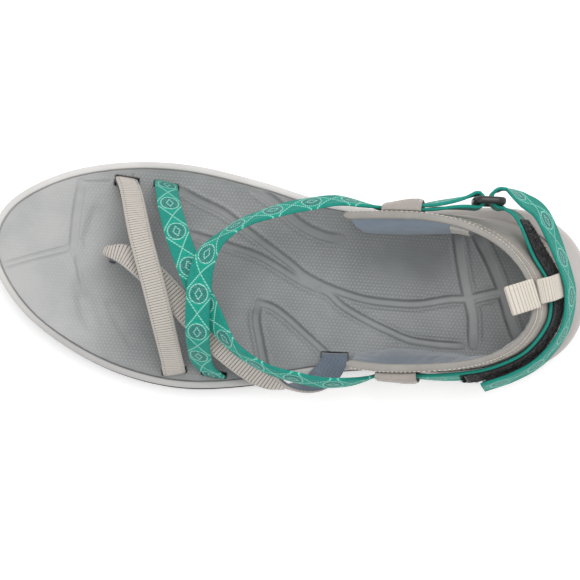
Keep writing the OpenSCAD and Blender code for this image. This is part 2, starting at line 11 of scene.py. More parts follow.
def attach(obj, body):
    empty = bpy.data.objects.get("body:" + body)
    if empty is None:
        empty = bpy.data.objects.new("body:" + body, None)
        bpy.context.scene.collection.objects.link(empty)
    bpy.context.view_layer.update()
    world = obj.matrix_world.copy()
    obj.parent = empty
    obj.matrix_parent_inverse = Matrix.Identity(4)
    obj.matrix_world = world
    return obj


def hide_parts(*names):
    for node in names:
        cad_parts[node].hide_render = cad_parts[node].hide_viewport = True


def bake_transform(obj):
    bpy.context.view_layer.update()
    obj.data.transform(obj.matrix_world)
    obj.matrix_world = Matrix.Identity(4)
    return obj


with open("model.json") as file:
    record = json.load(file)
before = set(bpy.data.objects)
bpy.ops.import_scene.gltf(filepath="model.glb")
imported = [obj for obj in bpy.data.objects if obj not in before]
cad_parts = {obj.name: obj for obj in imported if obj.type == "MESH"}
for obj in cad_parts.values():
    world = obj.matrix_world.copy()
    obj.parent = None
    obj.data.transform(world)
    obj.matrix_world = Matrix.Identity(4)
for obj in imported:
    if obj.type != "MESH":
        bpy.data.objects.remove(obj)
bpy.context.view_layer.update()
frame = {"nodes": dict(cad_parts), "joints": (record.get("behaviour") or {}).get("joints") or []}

# All sizes below are millimetres; meshes are scaled to metres as they are made.
MM = 0.001
random.seed(11)
scatter = np.random.default_rng(11)
PI = math.pi

# ---------------------------------------------------------------- camera, floor and light
VIEW_TURN = math.radians(4.42)
VIEW_TILT = math.radians(88)
VIEW_DISTANCE = 1150
VIEW_AIM = Vector((1.37, -2.01, 20))
VIEW_LENS = 162.2
SENSOR_WIDTH = 36
SKY_STRENGTH = 0.72
FLOOR_GLOW = 0.3
FLOOR_HALF = 1.6


def make_camera():
    right = Vector((math.cos(VIEW_TURN), math.sin(VIEW_TURN), 0))
    back = Vector((-math.sin(VIEW_TURN), math.cos(VIEW_TURN), 0))
    rise = Vector((0, 0, math.sin(VIEW_TILT)))
    place = VIEW_AIM + VIEW_DISTANCE * (rise - math.cos(VIEW_TILT) * back)
    forward = (VIEW_AIM - place).normalized()
    up = right.cross(forward)
    data = bpy.data.cameras.new("camera")
    data.lens = VIEW_LENS
    data.sensor_width = SENSOR_WIDTH
    data.clip_start = 0.01
    camera = bpy.data.objects.new("camera", data)
    axes = Matrix((right, up, -forward)).transposed().to_4x4()
    camera.matrix_world = Matrix.Translation(place * MM) @ axes
    bpy.context.scene.collection.objects.link(camera)
    bpy.context.scene.camera = camera


def area_light(name, place, size, power):
    data = bpy.data.lights.new(name, "AREA")
    data.shape = "DISK"
    data.size = size
    data.energy = power
    light = bpy.data.objects.new(name, data)
    light.location = place
    light.rotation_euler = (-Vector(place)).to_track_quat("-Z", "Y").to_euler()
    bpy.context.scene.collection.objects.link(light)


make_camera()
area_light("key_light", (0.12, 0.36, 1.1), 0.9, 7.6)
area_light("fill_light", (-0.55, -0.35, 1.0), 0.9, 1.6)
bpy.context.scene.view_settings.view_transform = "Standard"
world = bpy.data.worlds.new("studio")
bpy.context.scene.world = world
world.use_nodes = True
world.node_tree.nodes["Background"].inputs["Color"].default_value = (1, 1, 1, 1)
world.node_tree.nodes["Background"].inputs["Strength"].default_value = SKY_STRENGTH


# ---------------------------------------------------------------- shader building
def operation(kind):
    """Method that adds a math node of this kind to the value's material."""
    return lambda self, other=None: self.material.math(kind, self, other)


class Value:
    """A node socket that can be used in sums, like a number."""

    def __init__(self, material, socket):
        self.material = material
        self.socket = socket

    __add__ = operation("ADD")
    __sub__ = operation("SUBTRACT")
    __mul__ = operation("MULTIPLY")
    __truediv__ = operation("DIVIDE")
    sin = operation("SINE")
    cos = operation("COSINE")
    abs = operation("ABSOLUTE")
    sqrt = operation("SQRT")
    frac = operation("FRACT")
    smaller = operation("MINIMUM")
    larger = operation("MAXIMUM")

    def ramp(self, low, high, to_low=0.0, to_high=1.0):
        """Smooth step from to_low at low to to_high at high."""
        node = self.material.add("MapRange")
        node.interpolation_type = "SMOOTHSTEP"
        ends = (high, low, to_high, to_low) if low > high else (low, high, to_low, to_high)
        self.material.feed(node.inputs["Value"], self)
        for name, number in zip(("From Min", "From Max", "To Min", "To Max"), ends):
            node.inputs[name].default_value = number
        return Value(self.material, node.outputs["Result"])


class Material:
    """A principled material and short ways to wire its nodes."""

    def __init__(self, name, **sockets):
        self.material = bpy.data.materials.new(name)
        self.material.use_nodes = True
        self.nodes = self.material.node_tree.nodes
        self.links = self.material.node_tree.links
        self.shader = self.nodes["Principled BSDF"]
        for key, number in sockets.items():
            socket = key.replace("_", " ").title().replace("Ior", "IOR")
            self.shader.inputs[socket].default_value = number

    def feed(self, socket, thing):
        if isinstance(thing, Value):
            self.links.new(thing.socket, socket)
        elif isinstance(thing, (tuple, list)):
            socket.default_value = (*thing, 1) if len(socket.default_value) == 4 else thing
        else:
            socket.default_value = thing

    def add(self, kind, **inputs):
        node = self.nodes.new("ShaderNode" + kind)
        for name, thing in inputs.items():
            self.feed(node.inputs[name], thing)
        return node

    def math(self, kind, a, b=None):
        node = self.add("Math")
        node.operation = kind
        self.feed(node.inputs[0], a)
        if b is not None:
            self.feed(node.inputs[1], b)
        return Value(self, node.outputs[0])

    def place(self):
        """Position on the sandal in millimetres, as a vector."""
        scale = self.add("VectorMath")
        scale.operation = "SCALE"
        scale.inputs["Scale"].default_value = 1 / MM
        self.links.new(self.add("TexCoord").outputs["Object"], scale.inputs[0])
        return Value(self, scale.outputs[0])

    def attribute(self, name):
        node = self.add("Attribute")
        node.attribute_name = name
        return Value(self, node.outputs["Vector"])

    def parts(self, vector):
        node = self.add("SeparateXYZ")
        self.links.new(vector.socket, node.inputs[0])
        return [Value(self, output) for output in node.outputs]

    def noise(self, vector, scale, detail=2.0, roughness=0.5):
        node = self.add("TexNoise", Vector=vector, Scale=scale, Detail=detail, Roughness=roughness)
        return Value(self, node.outputs[0])

    def cells(self, vector, scale, feature="F1"):
        node = self.add("TexVoronoi")
        node.feature = feature
        self.feed(node.inputs["Vector"], vector)
        node.inputs["Scale"].default_value = scale
        return Value(self, node.outputs["Distance"])

    def mix(self, share, a, b):
        node = self.add("Mix")
        node.data_type = "RGBA"
        for socket, thing in ((node.inputs["Factor"], share), (node.inputs[6], a), (node.inputs[7], b)):
            self.feed(socket, thing)
        return Value(self, node.outputs[2])

    def colour(self, value):
        self.feed(self.shader.inputs["Base Color"], value)

    def rough(self, value):
        self.feed(self.shader.inputs["Roughness"], value)

    def bump(self, height, depth, strength):
        """Bump from a height that runs 0 to 1, depth millimetres deep."""
        node = self.add("Bump", Strength=strength, Distance=depth * MM, Height=height)
        self.links.new(node.outputs[0], self.shader.inputs["Normal"])


def rubber_material():
    m = Material("outsole_rubber", specular_ior_level=0.35)
    at = m.place()
    fine = m.noise(at, 2.6, 4, 0.6)
    scuff = m.noise(at, 0.12, 5, 0.7).ramp(0.52, 0.72)
    m.colour(m.mix(scuff * 0.6 + fine * 0.25, (0.012, 0.012, 0.014), (0.05, 0.05, 0.052)))
    m.rough(fine.ramp(0.3, 0.7, 0.62, 0.82))
    m.bump(fine, 0.12, 0.7)
    return m.material


def midsole_material():
    m = Material("midsole_foam", specular_ior_level=0.16)
    at = m.place()
    pebble = m.cells(at, 1.1).ramp(0.0, 0.6)
    cloud = m.noise(at, 0.035, 3, 0.6)
    x, y, z = m.parts(at)
    dust = z.ramp(3.5, 9.0)
    tone = m.mix(cloud.ramp(0.35, 0.7), (0.545, 0.532, 0.515), (0.61, 0.597, 0.58))
    tone = m.mix(x.ramp(40.0, 95.0) * 0.7, tone, (0.53, 0.485, 0.465))
    # Painted shade: the lateral side behind the arch is darker, as if in shadow.
    tone = m.mix(y.ramp(-6.0, -34.0) * x.ramp(110.0, 60.0) * 0.7, tone, (0.36, 0.357, 0.35))
    m.colour(m.mix(dust, (0.44, 0.425, 0.40), tone))
    m.rough(m.noise(at, 0.8, 2).ramp(0.3, 0.7, 0.55, 0.72))
    m.bump(pebble, 0.05, 0.45)
    return m.material


def footbed_material():
    m = Material("footbed_foam", specular_ior_level=0.42)
    at = m.place()
    tone, relief, slot_shade = m.parts(m.attribute("tone"))
    cloud = m.noise(at, 0.045, 4, 0.6)
    grain = m.noise(at, 3.0, 3, 0.6)
    dark = m.mix(cloud.ramp(0.3, 0.7), (0.112, 0.120, 0.123), (0.148, 0.157, 0.160))
    light = m.mix(cloud.ramp(0.3, 0.7), (0.325, 0.332, 0.33), (0.385, 0.388, 0.38))
    # The tone attribute blends dark and light: mostly painted light and shade.
    body = m.mix(tone, dark, light)
    # Painted highlight on the bump tops, with a little real grain speckle.
    bump_highlight_and_grain = m.mix(relief * 0.26 + grain * 0.08, body, (0.56, 0.57, 0.57))
    # Painted shade: the strap slots are coloured near black.
    m.colour(m.mix(slot_shade, bump_highlight_and_grain, (0.03, 0.03, 0.032)))
    m.rough(grain.ramp(0.3, 0.7, 0.42, 0.6))
    m.bump(grain, 0.03, 0.5)
    return m.material


def ribbed_material(name, base, valley_shade, pitch, edge_lines):
    """Ribbon whose ribs run across it; edge_lines draws the flat selvedges."""
    m = Material(name, specular_ior_level=0.25, sheen_weight=0.25, sheen_roughness=0.4)
    along, across, _ = m.parts(m.attribute("strap"))
    rib = (along * (PI / pitch)).cos().abs()
    yarn = m.noise(m.place(), 1.9, 3, 0.7)
    twist = (along * (2 * PI / 0.45) + across * 3.0).sin() * 0.5 + 0.5
    # Painted shade: the valleys between the ribs take the darker colour.
    shade = m.mix(rib.ramp(0.05, 0.55), valley_shade, base)
    shade = m.mix(yarn.ramp(0.35, 0.75) * 0.35, shade, tuple(min(1, c * 1.3) for c in base))
    if edge_lines:
        rim = across.abs().ramp(edge_lines - 0.35, edge_lines)
        shade = m.mix(rim * 0.75, shade, tuple(c * 0.86 for c in base))
    m.colour(shade)
    m.rough(yarn.ramp(0.3, 0.7, 0.72, 0.9))
    m.bump(twist * 0.5 + yarn * 0.5, 0.06, 0.5)
    return m.material


MOTIF_REPEAT = 17.0


def teal_webbing_material():
    """Twill webbing with crossing woven lines between open ovals that hold a small diamond."""
    m = Material("patterned_webbing", specular_ior_level=0.15, sheen_weight=0.08, sheen_roughness=0.35)
    along, across, _ = m.parts(m.attribute("strap"))
    place = (((along / MOTIF_REPEAT).frac() - 0.5) * MOTIF_REPEAT).abs()
    edge = across.abs()
    back = place * -1.0 + MOTIF_REPEAT / 2
    rays = (edge - place * 0.74).abs() * 0.8
    oval = ((back * back) / 17.0 + (across * across) / 15.0).sqrt()
    ring = (oval - 1.0).abs() * 3.6
    kernel = (back * 0.62 + edge - 1.5).abs() * 0.85
    outside = oval.ramp(0.98, 1.04)
    rays = rays + outside * -0.9 + 0.9
    line = rays.smaller(ring).smaller(kernel).ramp(0.34, 0.16)
    dash = (along * (2 * PI / 0.9) + across * 2.1).sin().ramp(-0.85, -0.3)
    motif = line * dash
    at = m.place()
    speck = m.noise(at, 1.7, 1, 0.5).ramp(0.54, 0.62)
    panel = oval.ramp(1.05, 0.95)
    wing = (edge - place * 0.9).ramp(-0.2, 0.3) * oval.ramp(1.0, 1.1)
    twill = ((along + across) * (2 * PI / 0.85)).sin() * 0.5 + 0.5
    cross = ((along - across) * (2 * PI / 0.62)).sin() * 0.5 + 0.5
    weave = twill * 0.65 + cross * 0.35
    yarn = m.noise(at, 0.9, 4, 0.7)
    teal = m.mix(yarn.ramp(0.3, 0.7), (0.006, 0.205, 0.150), (0.012, 0.285, 0.215))
    # Painted highlight: the twill crowns are coloured lighter.
    teal = m.mix(weave * 0.45, teal, (0.022, 0.40, 0.305))
    teal = m.mix((panel * 0.6).larger(wing * 0.3), teal, (0.018, 0.125, 0.12))
    teal = m.mix(speck * panel * 0.6, teal, (0.16, 0.24, 0.235))
    teal = m.mix(motif * 0.75, teal, (0.38, 0.72, 0.62))
    m.colour(teal)
    m.rough(weave.ramp(0.1, 0.9, 0.85, 0.55))
    m.bump(weave + motif * 0.6, 0.11, 0.8)
    return m.material


def leather_material(name, dark, light):
    m = Material(name, specular_ior_level=0.16)
    at = m.place()
    grain = m.cells(at, 1.7, "DISTANCE_TO_EDGE").ramp(0.0, 0.16)
    pores = m.noise(at, 5.0, 2, 0.6)
    cloud = m.noise(at, 0.05, 4, 0.6)
    tone = m.mix(cloud.ramp(0.3, 0.7), dark, light)
    m.colour(m.mix(grain.ramp(0.0, 1.0, 0.35, 0.0), tone, tuple(c * 0.62 for c in dark)))
    m.rough(grain.ramp(0.0, 1.0, 0.66, 0.44))
    m.bump(grain * 0.8 + pores * 0.2, 0.06, 0.55)
    return m.material


def knit_material(name, dark, light, pitch=0.9, contrast=0.5):
    """Fine knit: small loops in staggered columns."""
    m = Material(name, specular_ior_level=0.25, sheen_weight=0.45, sheen_roughness=0.4)
    at = m.place()
    x, y, z = m.parts(at)
    run = x + y * 0.35
    sway = (run * (PI / pitch)).sin() * 2
    loops = (run * (2 * PI / pitch)).sin() * ((z * (2 * PI / pitch)) + sway).cos() * 0.5 + 0.5
    cloud = m.noise(at, 0.12, 4, 0.65)
    tone = m.mix(cloud.ramp(0.3, 0.7), dark, light)
    # Painted highlight on the loop crowns, painted shade between them.
    m.colour(m.mix(loops * contrast, tone, tuple(min(1, c * 1.55) for c in light)))
    m.rough(loops.ramp(0.2, 0.8, 0.9, 0.7))
    m.bump(loops, 0.09, 0.6)
    return m.material


def plastic_material():
    m = Material("black_plastic", specular_ior_level=0.5)
    at = m.place()
    fine = m.noise(at, 4.0, 2)
    wear = m.noise(at, 0.3, 5, 0.7).ramp(0.5, 0.75)
    m.colour(m.mix(wear * 0.5, (0.010, 0.010, 0.011), (0.045, 0.045, 0.048)))
    m.rough(fine.ramp(0.3, 0.7, 0.3, 0.46))
    m.bump(fine, 0.02, 0.4)
    return m.material


def tape_material():
    m = Material("closure_tape", specular_ior_level=0.25, sheen_weight=0.2, sheen_roughness=0.3)
    at = m.place()
    fuzz = m.noise(at, 1.4, 5, 0.8)
    lint = m.noise(at, 2.3, 2, 0.6).ramp(0.70, 0.76)
    tone = m.mix(fuzz.ramp(0.35, 0.7), (0.004, 0.004, 0.005), (0.022, 0.022, 0.024))
    m.colour(m.mix(lint * 0.5, tone, (0.10, 0.12, 0.12)))
    m.rough(fuzz.ramp(0.3, 0.7, 0.8, 0.95))
    m.bump(fuzz, 0.3, 0.9)
    return m.material


def thread_material(name, dark, light):
    m = Material(name, specular_ior_level=0.3, sheen_weight=0.3)
    at = m.place()
    twist = m.noise(at, 3.2, 2, 0.6)
    m.colour(m.mix(twist.ramp(0.35, 0.65), dark, light))
    m.rough(twist.ramp(0.3, 0.7, 0.6, 0.8))
    m.bump(twist, 0.05, 0.6)
    return m.material


def floor_material():
    m = Material("studio_floor", specular_ior_level=0.0, roughness=0.9)
    paper = m.noise(m.place(), 0.02, 3, 0.5)
    m.colour(m.mix(paper, (0.93, 0.93, 0.93), (0.94, 0.94, 0.94)))
    m.shader.inputs["Emission Color"].default_value = (1, 1, 1, 1)
    m.shader.inputs["Emission Strength"].default_value = FLOOR_GLOW
    return m.material


TOE_RIB = 1.15
LOOP_RIB = TOE_RIB * 1.25
TAB_RIB = 1.6
RUBBER = rubber_material()
MIDSOLE = midsole_material()
FOOTBED = footbed_material()
# The second colour of each ribbon is painted shade for its rib valleys.
RIBBON = ribbed_material("ribbed_ribbon", (0.475, 0.44, 0.40), (0.11, 0.097, 0.088), TOE_RIB, 4.0)
LOOP_RIBBON = ribbed_material("ribbed_elastic", (0.46, 0.425, 0.39), (0.035, 0.032, 0.03), LOOP_RIB, 4.6)
TAB_RIBBON = ribbed_material("tab_webbing", (0.58, 0.535, 0.47), (0.30, 0.265, 0.225), TAB_RIB, 0)
TEAL = teal_webbing_material()
LEATHER = leather_material("taupe_leather", (0.335, 0.30, 0.275), (0.41, 0.375, 0.345))
BINDING = leather_material("edge_binding", (0.275, 0.262, 0.243), (0.325, 0.31, 0.288))
BLUE_KNIT = knit_material("blue_grey_knit", (0.165, 0.225, 0.30), (0.225, 0.295, 0.37))
# Darker copy of the blue-grey knit: painted shade for the lateral pad and the toe loop's underside.
SHADE_KNIT = knit_material("blue_grey_knit_shaded", (0.085, 0.105, 0.135), (0.12, 0.145, 0.18))
GREY_KNIT = knit_material("grey_textile", (0.25, 0.25, 0.245), (0.31, 0.31, 0.30), 0.7, 0.35)
DARK_KNIT = knit_material("dark_knit", (0.012, 0.013, 0.016), (0.024, 0.026, 0.03))
PLASTIC = plastic_material()
TAPE = tape_material()
CREAM_THREAD = thread_material("cream_thread", (0.42, 0.38, 0.33), (0.66, 0.62, 0.56))
DARK_THREAD = thread_material("dark_thread", (0.03, 0.03, 0.032), (0.09, 0.085, 0.08))


# ---------------------------------------------------------------- mesh building
def unit(v):
    return v / np.linalg.norm(v, axis=-1, keepdims=True)


def smooth(value, low, high):
    """Smooth step from 0 at low to 1 at high."""
    share = np.clip((value - low) / (high - low), 0, 1)
    return share * share * (3 - 2 * share)


def cubic(a, b, c, d, f):
    """Smooth curve from b to c at share f, with a before b and d after c."""
    square, cube = 2 * a - 5 * b + 4 * c - d, 3 * b - a - 3 * c + d
    return 0.5 * (2 * b + (c - a) * f + square * f ** 2 + cube * f ** 3)


def spline(points, t):
    """Smooth curve through the points; t runs from 0 to the last index."""
    p = np.asarray(points, float)
    p = np.vstack([2 * p[0] - p[1], p, 2 * p[-1] - p[-2]])
    t = np.asarray(t, float)
    i = np.clip(np.floor(t).astype(int), 0, len(p) - 4)
    return cubic(p[i], p[i + 1], p[i + 2], p[i + 3], (t - i)[..., None])


def line(points, count):
    return spline(points, np.linspace(0, len(points) - 1, count))


def loft(rings, closed=False):
    """Vertices and faces of a skin over rings with the same count of points, capped unless closed."""
    rings = np.asarray(rings, float)
    count, size = rings.shape[:2]
    row = np.arange(count if closed else count - 1)[:, None]
    here, there = row * size, (row + 1) % count * size
    a, b = np.arange(size), (np.arange(size) + 1) % size
    faces = np.stack([here + a, here + b, there + b, there + a], axis=-1).reshape(-1, 4).tolist()
    if not closed:
        faces += [list(range(size))[::-1], list(range((count - 1) * size, count * size))]
    return rings.reshape(-1, 3), faces


def outward(points, faces):
    """The faces, turned over if they enclose a negative volume."""
    quads = np.array([f[:4] if len(f) >= 4 else f + f[-1:] for f in faces if len(f) <= 4])
    p = points[quads]
    volume = sum(np.sum(np.cross(p[:, 0], p[:, i]) * p[:, i + 1]) for i in (1, 2))
    return faces if volume > 0 else [f[::-1] for f in faces]


def piece(name, parts, material, body=None, replaces=()):
    """One object from parts, each (points, faces) or (points, faces, {attribute: values})."""
    points, faces, extra, start = [], [], {}, 0
    for part in parts:
        p, f = part[0], outward(part[0], part[1])
        points.append(p)
        faces.extend(f if start == 0 else [[v + start for v in face] for face in f])
        for key, values in (part[2] if len(part) > 2 else {}).items():
            extra.setdefault(key, []).append(values)
        start += len(p)
    mesh = bpy.data.meshes.new(name)
    mesh.from_pydata((np.vstack(points) * MM).tolist(), [], faces)
    mesh.polygons.foreach_set("use_smooth", [True] * len(mesh.polygons))
    for key, values in extra.items():
        layer = mesh.attributes.new(key, "FLOAT_VECTOR", "POINT")
        layer.data.foreach_set("vector", np.vstack(values).astype(np.float32).ravel())
    mesh.update()
    obj = bpy.data.objects.new(name, mesh)
    mesh.materials.append(material)
    bpy.context.scene.collection.objects.link(obj)
    if replaces:
        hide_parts(*replaces)
    if body:
        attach(obj, body)
    return obj


def sharp_edges(obj, angle):
    """Keeps creases sharper than the angle, in degrees, in the shading."""
    work = bmesh.new()
    work.from_mesh(obj.data)
    for edge in work.edges:
        if len(edge.link_faces) == 2 and edge.calc_face_angle(0) > math.radians(angle):
            edge.smooth = False
    work.to_mesh(obj.data)
    work.free()


def tube(path, radius, sides):
    """Round thread or bar along a path; radius is a number or one value a point."""
    path = np.asarray(path, float)
    along = unit(np.gradient(path, axis=0))
    side = np.cross(along, (0, 0, 1))
    weak = np.linalg.norm(side, axis=1) < 1e-3
    side[weak] = np.cross(along[weak], (0.3, 1, 0.2))
    side = unit(side)
    top = np.cross(side, along)
    turn = np.arange(sides) * 2 * PI / sides
    radius = np.broadcast_to(radius, len(path))[:, None, None]
    around = side[:, None] * np.cos(turn)[None, :, None] + top[:, None] * np.sin(turn)[None, :, None]
    return loft(path[:, None] + radius * around)


def beads(centres, along, up, size):
    """Small rounded stitches; size is (length, width, height)."""
    rings, sides = 5, 6
    polar = np.linspace(0.12, PI - 0.12, rings)
    turn = np.arange(sides) * 2 * PI / sides
    shape = np.stack([
        np.cos(polar)[:, None] * np.ones(sides),
        np.sin(polar)[:, None] * np.cos(turn),
        np.sin(polar)[:, None] * np.sin(turn),
    ], axis=-1) * np.array(size) / 2
    parts = []
    along, up = unit(along), unit(up)
    across = np.cross(up, along)
    for c, a, b, u in zip(centres, along, across, up):
        rings_here = c + shape[..., :1] * a + shape[..., 1:2] * b + shape[..., 2:3] * u
        parts.append(loft(rings_here))
    return parts


# ---------------------------------------------------------------- sole shape
LUG_DEPTH = 3
PLATE = 2
BED_THICKNESS = 6
RIM_WIDTH = 3.4
BED_INSET = RIM_WIDTH + 0.2
HEEL_SHELF = 5.4
TOE_SPRING = 9
MEDIAL_EDGE = [
    (-131.6, 7), (-129, 21), (-118.5, 33), (-98, 43.7), (-72, 49.4), (-45, 49.7), (-15, 44.8),
    (14, 38.2), (45, 36.2), (78, 40.2), (105, 39.8), (124, 28), (131.6, 7),
]
LATERAL_EDGE = [
    (-131.6, 7), (-126.5, -7), (-113, -23), (-92, -36.5), (-68, -45.5), (-42, -48.9), (-14, -45.7),
    (12, -39), (42, -34.2), (76, -34.5), (104, -31.4), (124.5, -17), (131.6, 7),
]
BED_PROFILE = [
    (-132, 24), (-104, 20.5), (-76, 18.5), (-44, 19.5), (-4, 22), (40, 25), (84, 26), (132, 27.5),
]
CUP_PROFILE = [(-132, 1), (-92, 2.5), (-50, 3.5), (0, 5.5), (46, 7), (100, 6), (132, 5)]

medial_line = line(MEDIAL_EDGE, 400)
lateral_line = line(LATERAL_EDGE, 400)
bed_line = line(BED_PROFILE, 200)
cup_line = line(CUP_PROFILE, 200)


def read(curve, x):
    return np.interp(x, curve[:, 0], curve[:, 1])


def outline(count):
    """Closed outline of the sole and its outward directions."""
    loop = np.array(MEDIAL_EDGE + LATERAL_EDGE[-2:0:-1])
    n = len(loop)
    t = (np.arange(count) + 0.5) * n / count
    i = np.floor(t).astype(int)
    f = (t - i)[:, None]
    p = cubic(*(loop[(i + step) % n] for step in (-1, 0, 1, 2)), f)
    along = unit(np.roll(p, -1, axis=0) - np.roll(p, 1, axis=0))
    return p, np.stack([-along[:, 1], along[:, 0]], axis=1)


def bed_middle(x):
    return read(bed_line, x)


def rim_height(x):
    return bed_middle(x) + read(cup_line, x)


def bed_floor(x):
    return bed_middle(x) - BED_THICKNESS


def bed_height(x, y):
    m = read(medial_line, x) - BED_INSET
    l = read(lateral_line, x) + BED_INSET
    share = np.minimum(1, np.abs(2 * y - m - l) / np.maximum(10, m - l))
    return bed_middle(x) + read(cup_line, x) * share ** 2.4


def ground_lift(x):
    toe = TOE_SPRING * (np.maximum(0, -70 - x) / 61.6) ** 2
    heel = 2.5 * (np.maximum(0, x - 110) / 21.6) ** 2
    return toe + heel


def plate_top(x):
    return ground_lift(x) + LUG_DEPTH + PLATE


EDGE_COUNT = 560
edge, edge_out = outline(EDGE_COUNT)


def level(inset, height):
    """Ring of the outline drawn in by inset, at height(x)."""
    p = edge - edge_out * np.reshape(inset, (-1, 1))
    return np.column_stack([p, height(edge[:, 0])])


def over(height, rise):
    return lambda x: height(x) + rise


def between(share):
    return lambda x: plate_top(x) + (rim_height(x) - plate_top(x)) * share


# ---------------------------------------------------------------- outsole
def block(corners, low, high, bevel=0.5):
    """Tread lug: a prism with a bevelled lower edge; low is a height for each corner."""
    corners = np.asarray(corners, float)
    centre = corners.mean(axis=0)
    small = corners + unit(centre - corners) * bevel * 1.6
    low = np.broadcast_to(low, len(corners))
    high = np.broadcast_to(high, len(corners))
    rings = ((small, low), (corners, low + bevel), (corners, high))
    return loft([np.column_stack(ring) for ring in rings])


EDGE_LUG_STEP = 17
EDGE_LUG_GAP = 4
TREAD_ROWS = range(-104, 112, 14)
TREAD_MARGIN = 13
TREAD_SPLIT = 0.8
TREAD_SWEEP = 7


def tread_lug(corners):
    """Lug from the ground up into the outsole's plate."""
    lift = ground_lift(np.array(corners)[:, 0])
    return block(corners, lift, lift + LUG_DEPTH + 0.4)


def make_outsole():
    lug_top = over(ground_lift, LUG_DEPTH)
    parts = [loft([
        level(2.2, lug_top), level(0.7, lug_top), level(0.15, over(lug_top, 0.35)),
        level(0, over(lug_top, 0.9)), level(0, over(plate_top, -0.3)),
        level(0.3, plate_top), level(3, plate_top),
    ])]
    for i in range(EDGE_LUG_GAP, EDGE_COUNT - EDGE_LUG_STEP, EDGE_LUG_STEP):
        last = i + EDGE_LUG_STEP - EDGE_LUG_GAP
        corners = [(i, 0.9), (last, 0.9), (last - 2, 5.2), (last, 9.5), (i, 9.5), (i + 2, 5.2)]
        parts.append(tread_lug([edge[k] - edge_out[k] * inset for k, inset in corners]))
    for x in TREAD_ROWS:
        m = float(read(medial_line, x)) - TREAD_MARGIN
        l = float(read(lateral_line, x)) + TREAD_MARGIN
        mid = (m + l) / 2
        for a, b in ((mid + TREAD_SPLIT, m), (mid - TREAD_SPLIT, l)):
            near, far = TREAD_SWEEP * abs(np.array([a, b]) - mid) / (m - mid)
            front, back = x - 4, x + 1.6
            parts.append(tread_lug([(front + near, a), (front + far, b), (back + far, b), (back + near, a)]))
    obj = piece("outsole_tread", parts, RUBBER, "sandal", ["outsole"])
    sharp_edges(obj, 30)


# ---------------------------------------------------------------- midsole
# Rings up the side, with its moulded grooves: inset, share of the height from plate to rim.
MIDSOLE_SIDE = [
    (0.85, 0.14), (1.35, 0.2), (1.75, 0.27), (2.0, 0.33), (2.12, 0.37), (2.65, 0.385), (2.7, 0.41),
    (2.15, 0.43), (2.05, 0.48), (1.95, 0.56), (1.88, 0.6), (2.35, 0.615), (2.35, 0.64), (1.75, 0.66),
    (1.45, 0.74), (1.05, 0.82),
]
# Rings over the rim and down inside it: inset, share of the heel shelf added to it, height over the rim.
MIDSOLE_RIM = [
    (0.72, 0, -2), (0.55, 0, -1.3), (0.55, 0, -0.75), (0.75, 0, -0.3), (1.15, 0, 0), (1.7, 0, 0.17),
    (2.3, 0, 0.18), (2.85, 0, 0.02), (3.1, 0.4, -0.1), (3.15, 0.8, -0.2), (3.2, 1, -0.3),
    (3.38, 1, -0.7), (3.5, 1, -1.5), (4.2, 1, -1.9),
]


def make_midsole():
    shelf = HEEL_SHELF * smooth(edge[:, 0], 55, 105)
    rings = [
        level(3.0, plate_top), level(0.75, plate_top),
        level(0.45, over(plate_top, 0.25)), level(0.5, over(plate_top, 0.9)),
        *(level(inset, between(share)) for inset, share in MIDSOLE_SIDE),
        *(level(inset + shelf * share, over(rim_height, rise)) for inset, share, rise in MIDSOLE_RIM),
        level(4.4 + shelf, bed_floor),
    ]
    piece("midsole_body", [loft(rings)], MIDSOLE, "sandal", ["midsole"])


# ---------------------------------------------------------------- footbed
# Moulded channels: (width, depth, softness of the walls, points).
CHANNELS = [
    (3.4, 1.3, 1.3, [(-50, 38), (-41, 34), (-31, 30), (-23, 25), (-14, 19), (0, 10), (7, 5), (16, 1),
                     (26, -2), (36, -4), (47, -4.5), (58, -4), (71, -1), (79, 0), (89, 3), (98, 5)]),
    (3.2, 1.2, 1.2, [(-45, 19.5), (-34, 17), (-26, 15), (-13, 11.5), (1, 4.5), (10, 0)]),
    (5.2, 1.2, 1.6, [(2, 7), (8, 2.5), (15, -0.5)]),
    (3.2, 1.2, 1.3, [(12, -0.5), (18, -2), (25, -7.5), (36, -13), (46, -17), (55, -20), (66, -21),
                     (78, -21)]),
    (4.4, 1.3, 1.5, [(-18, 41), (-9, 36), (-1, 30), (5, 26), (11, 23.5), (17, 22), (22, 22)]),
    (3.6, 1.2, 1.3, [(-12, -9.5), (-12.5, -16), (-10, -26), (-8, -33), (-6, -40)]),
    (3.2, 1.2, 1.3, [(-12, -8.5), (-5, -10.5), (2, -15), (7, -19), (14, -24.5), (21, -30)]),
    (4.8, 1.2, 1.5, [(72.5, 27), (77, 9), (80, -1), (82, -8), (83, -20)]),
    (4.8, 1.2, 1.5, [(81, 28), (88, 17), (93, 7), (96, -1), (99, -9), (102, -16)]),
    (4.0, 1.0, 1.4, [(80, -1), (87, 1.5), (96, 4)]),
    (4.2, 0.75, 1.2, [(-93.5, 38), (-94.5, 29), (-95, 19), (-95, 8)]),
    (0.9, 0.5, 0.5, [(-125, -0.3), (-112, 4.8), (-97, 10)]),
    (0.9, 0.5, 0.5, [(-125, -2.9), (-112, 2.2), (-96, 7.4)]),
    (0.9, 0.5, 0.5, [(-97, 13.5), (-92, 13), (-90.5, 12.5), (-90, 9.5)]),
    (2.4, 0.5, 1.2, [(-94, 7), (-92, 0), (-90, -7), (-87, -14)]),
    (1.0, 0.55, 0.5, [(-95, 38.2), (-88, 39), (-81, 39.6)]),
    (1.0, 0.6, 0.5, [(-71.5, 43.5), (-71.5, 39.8)]),
    (8.0, 0.9, 4.0, [(-77, -10), (-73, -19), (-67, -27), (-63, -34)]),
    (8.0, 0.8, 4.0, [(-90, -8), (-87, -18), (-82, -27)]),
    (7.0, 0.8, 3.5, [(-84, 30), (-87, 20), (-89, 12)]),
]
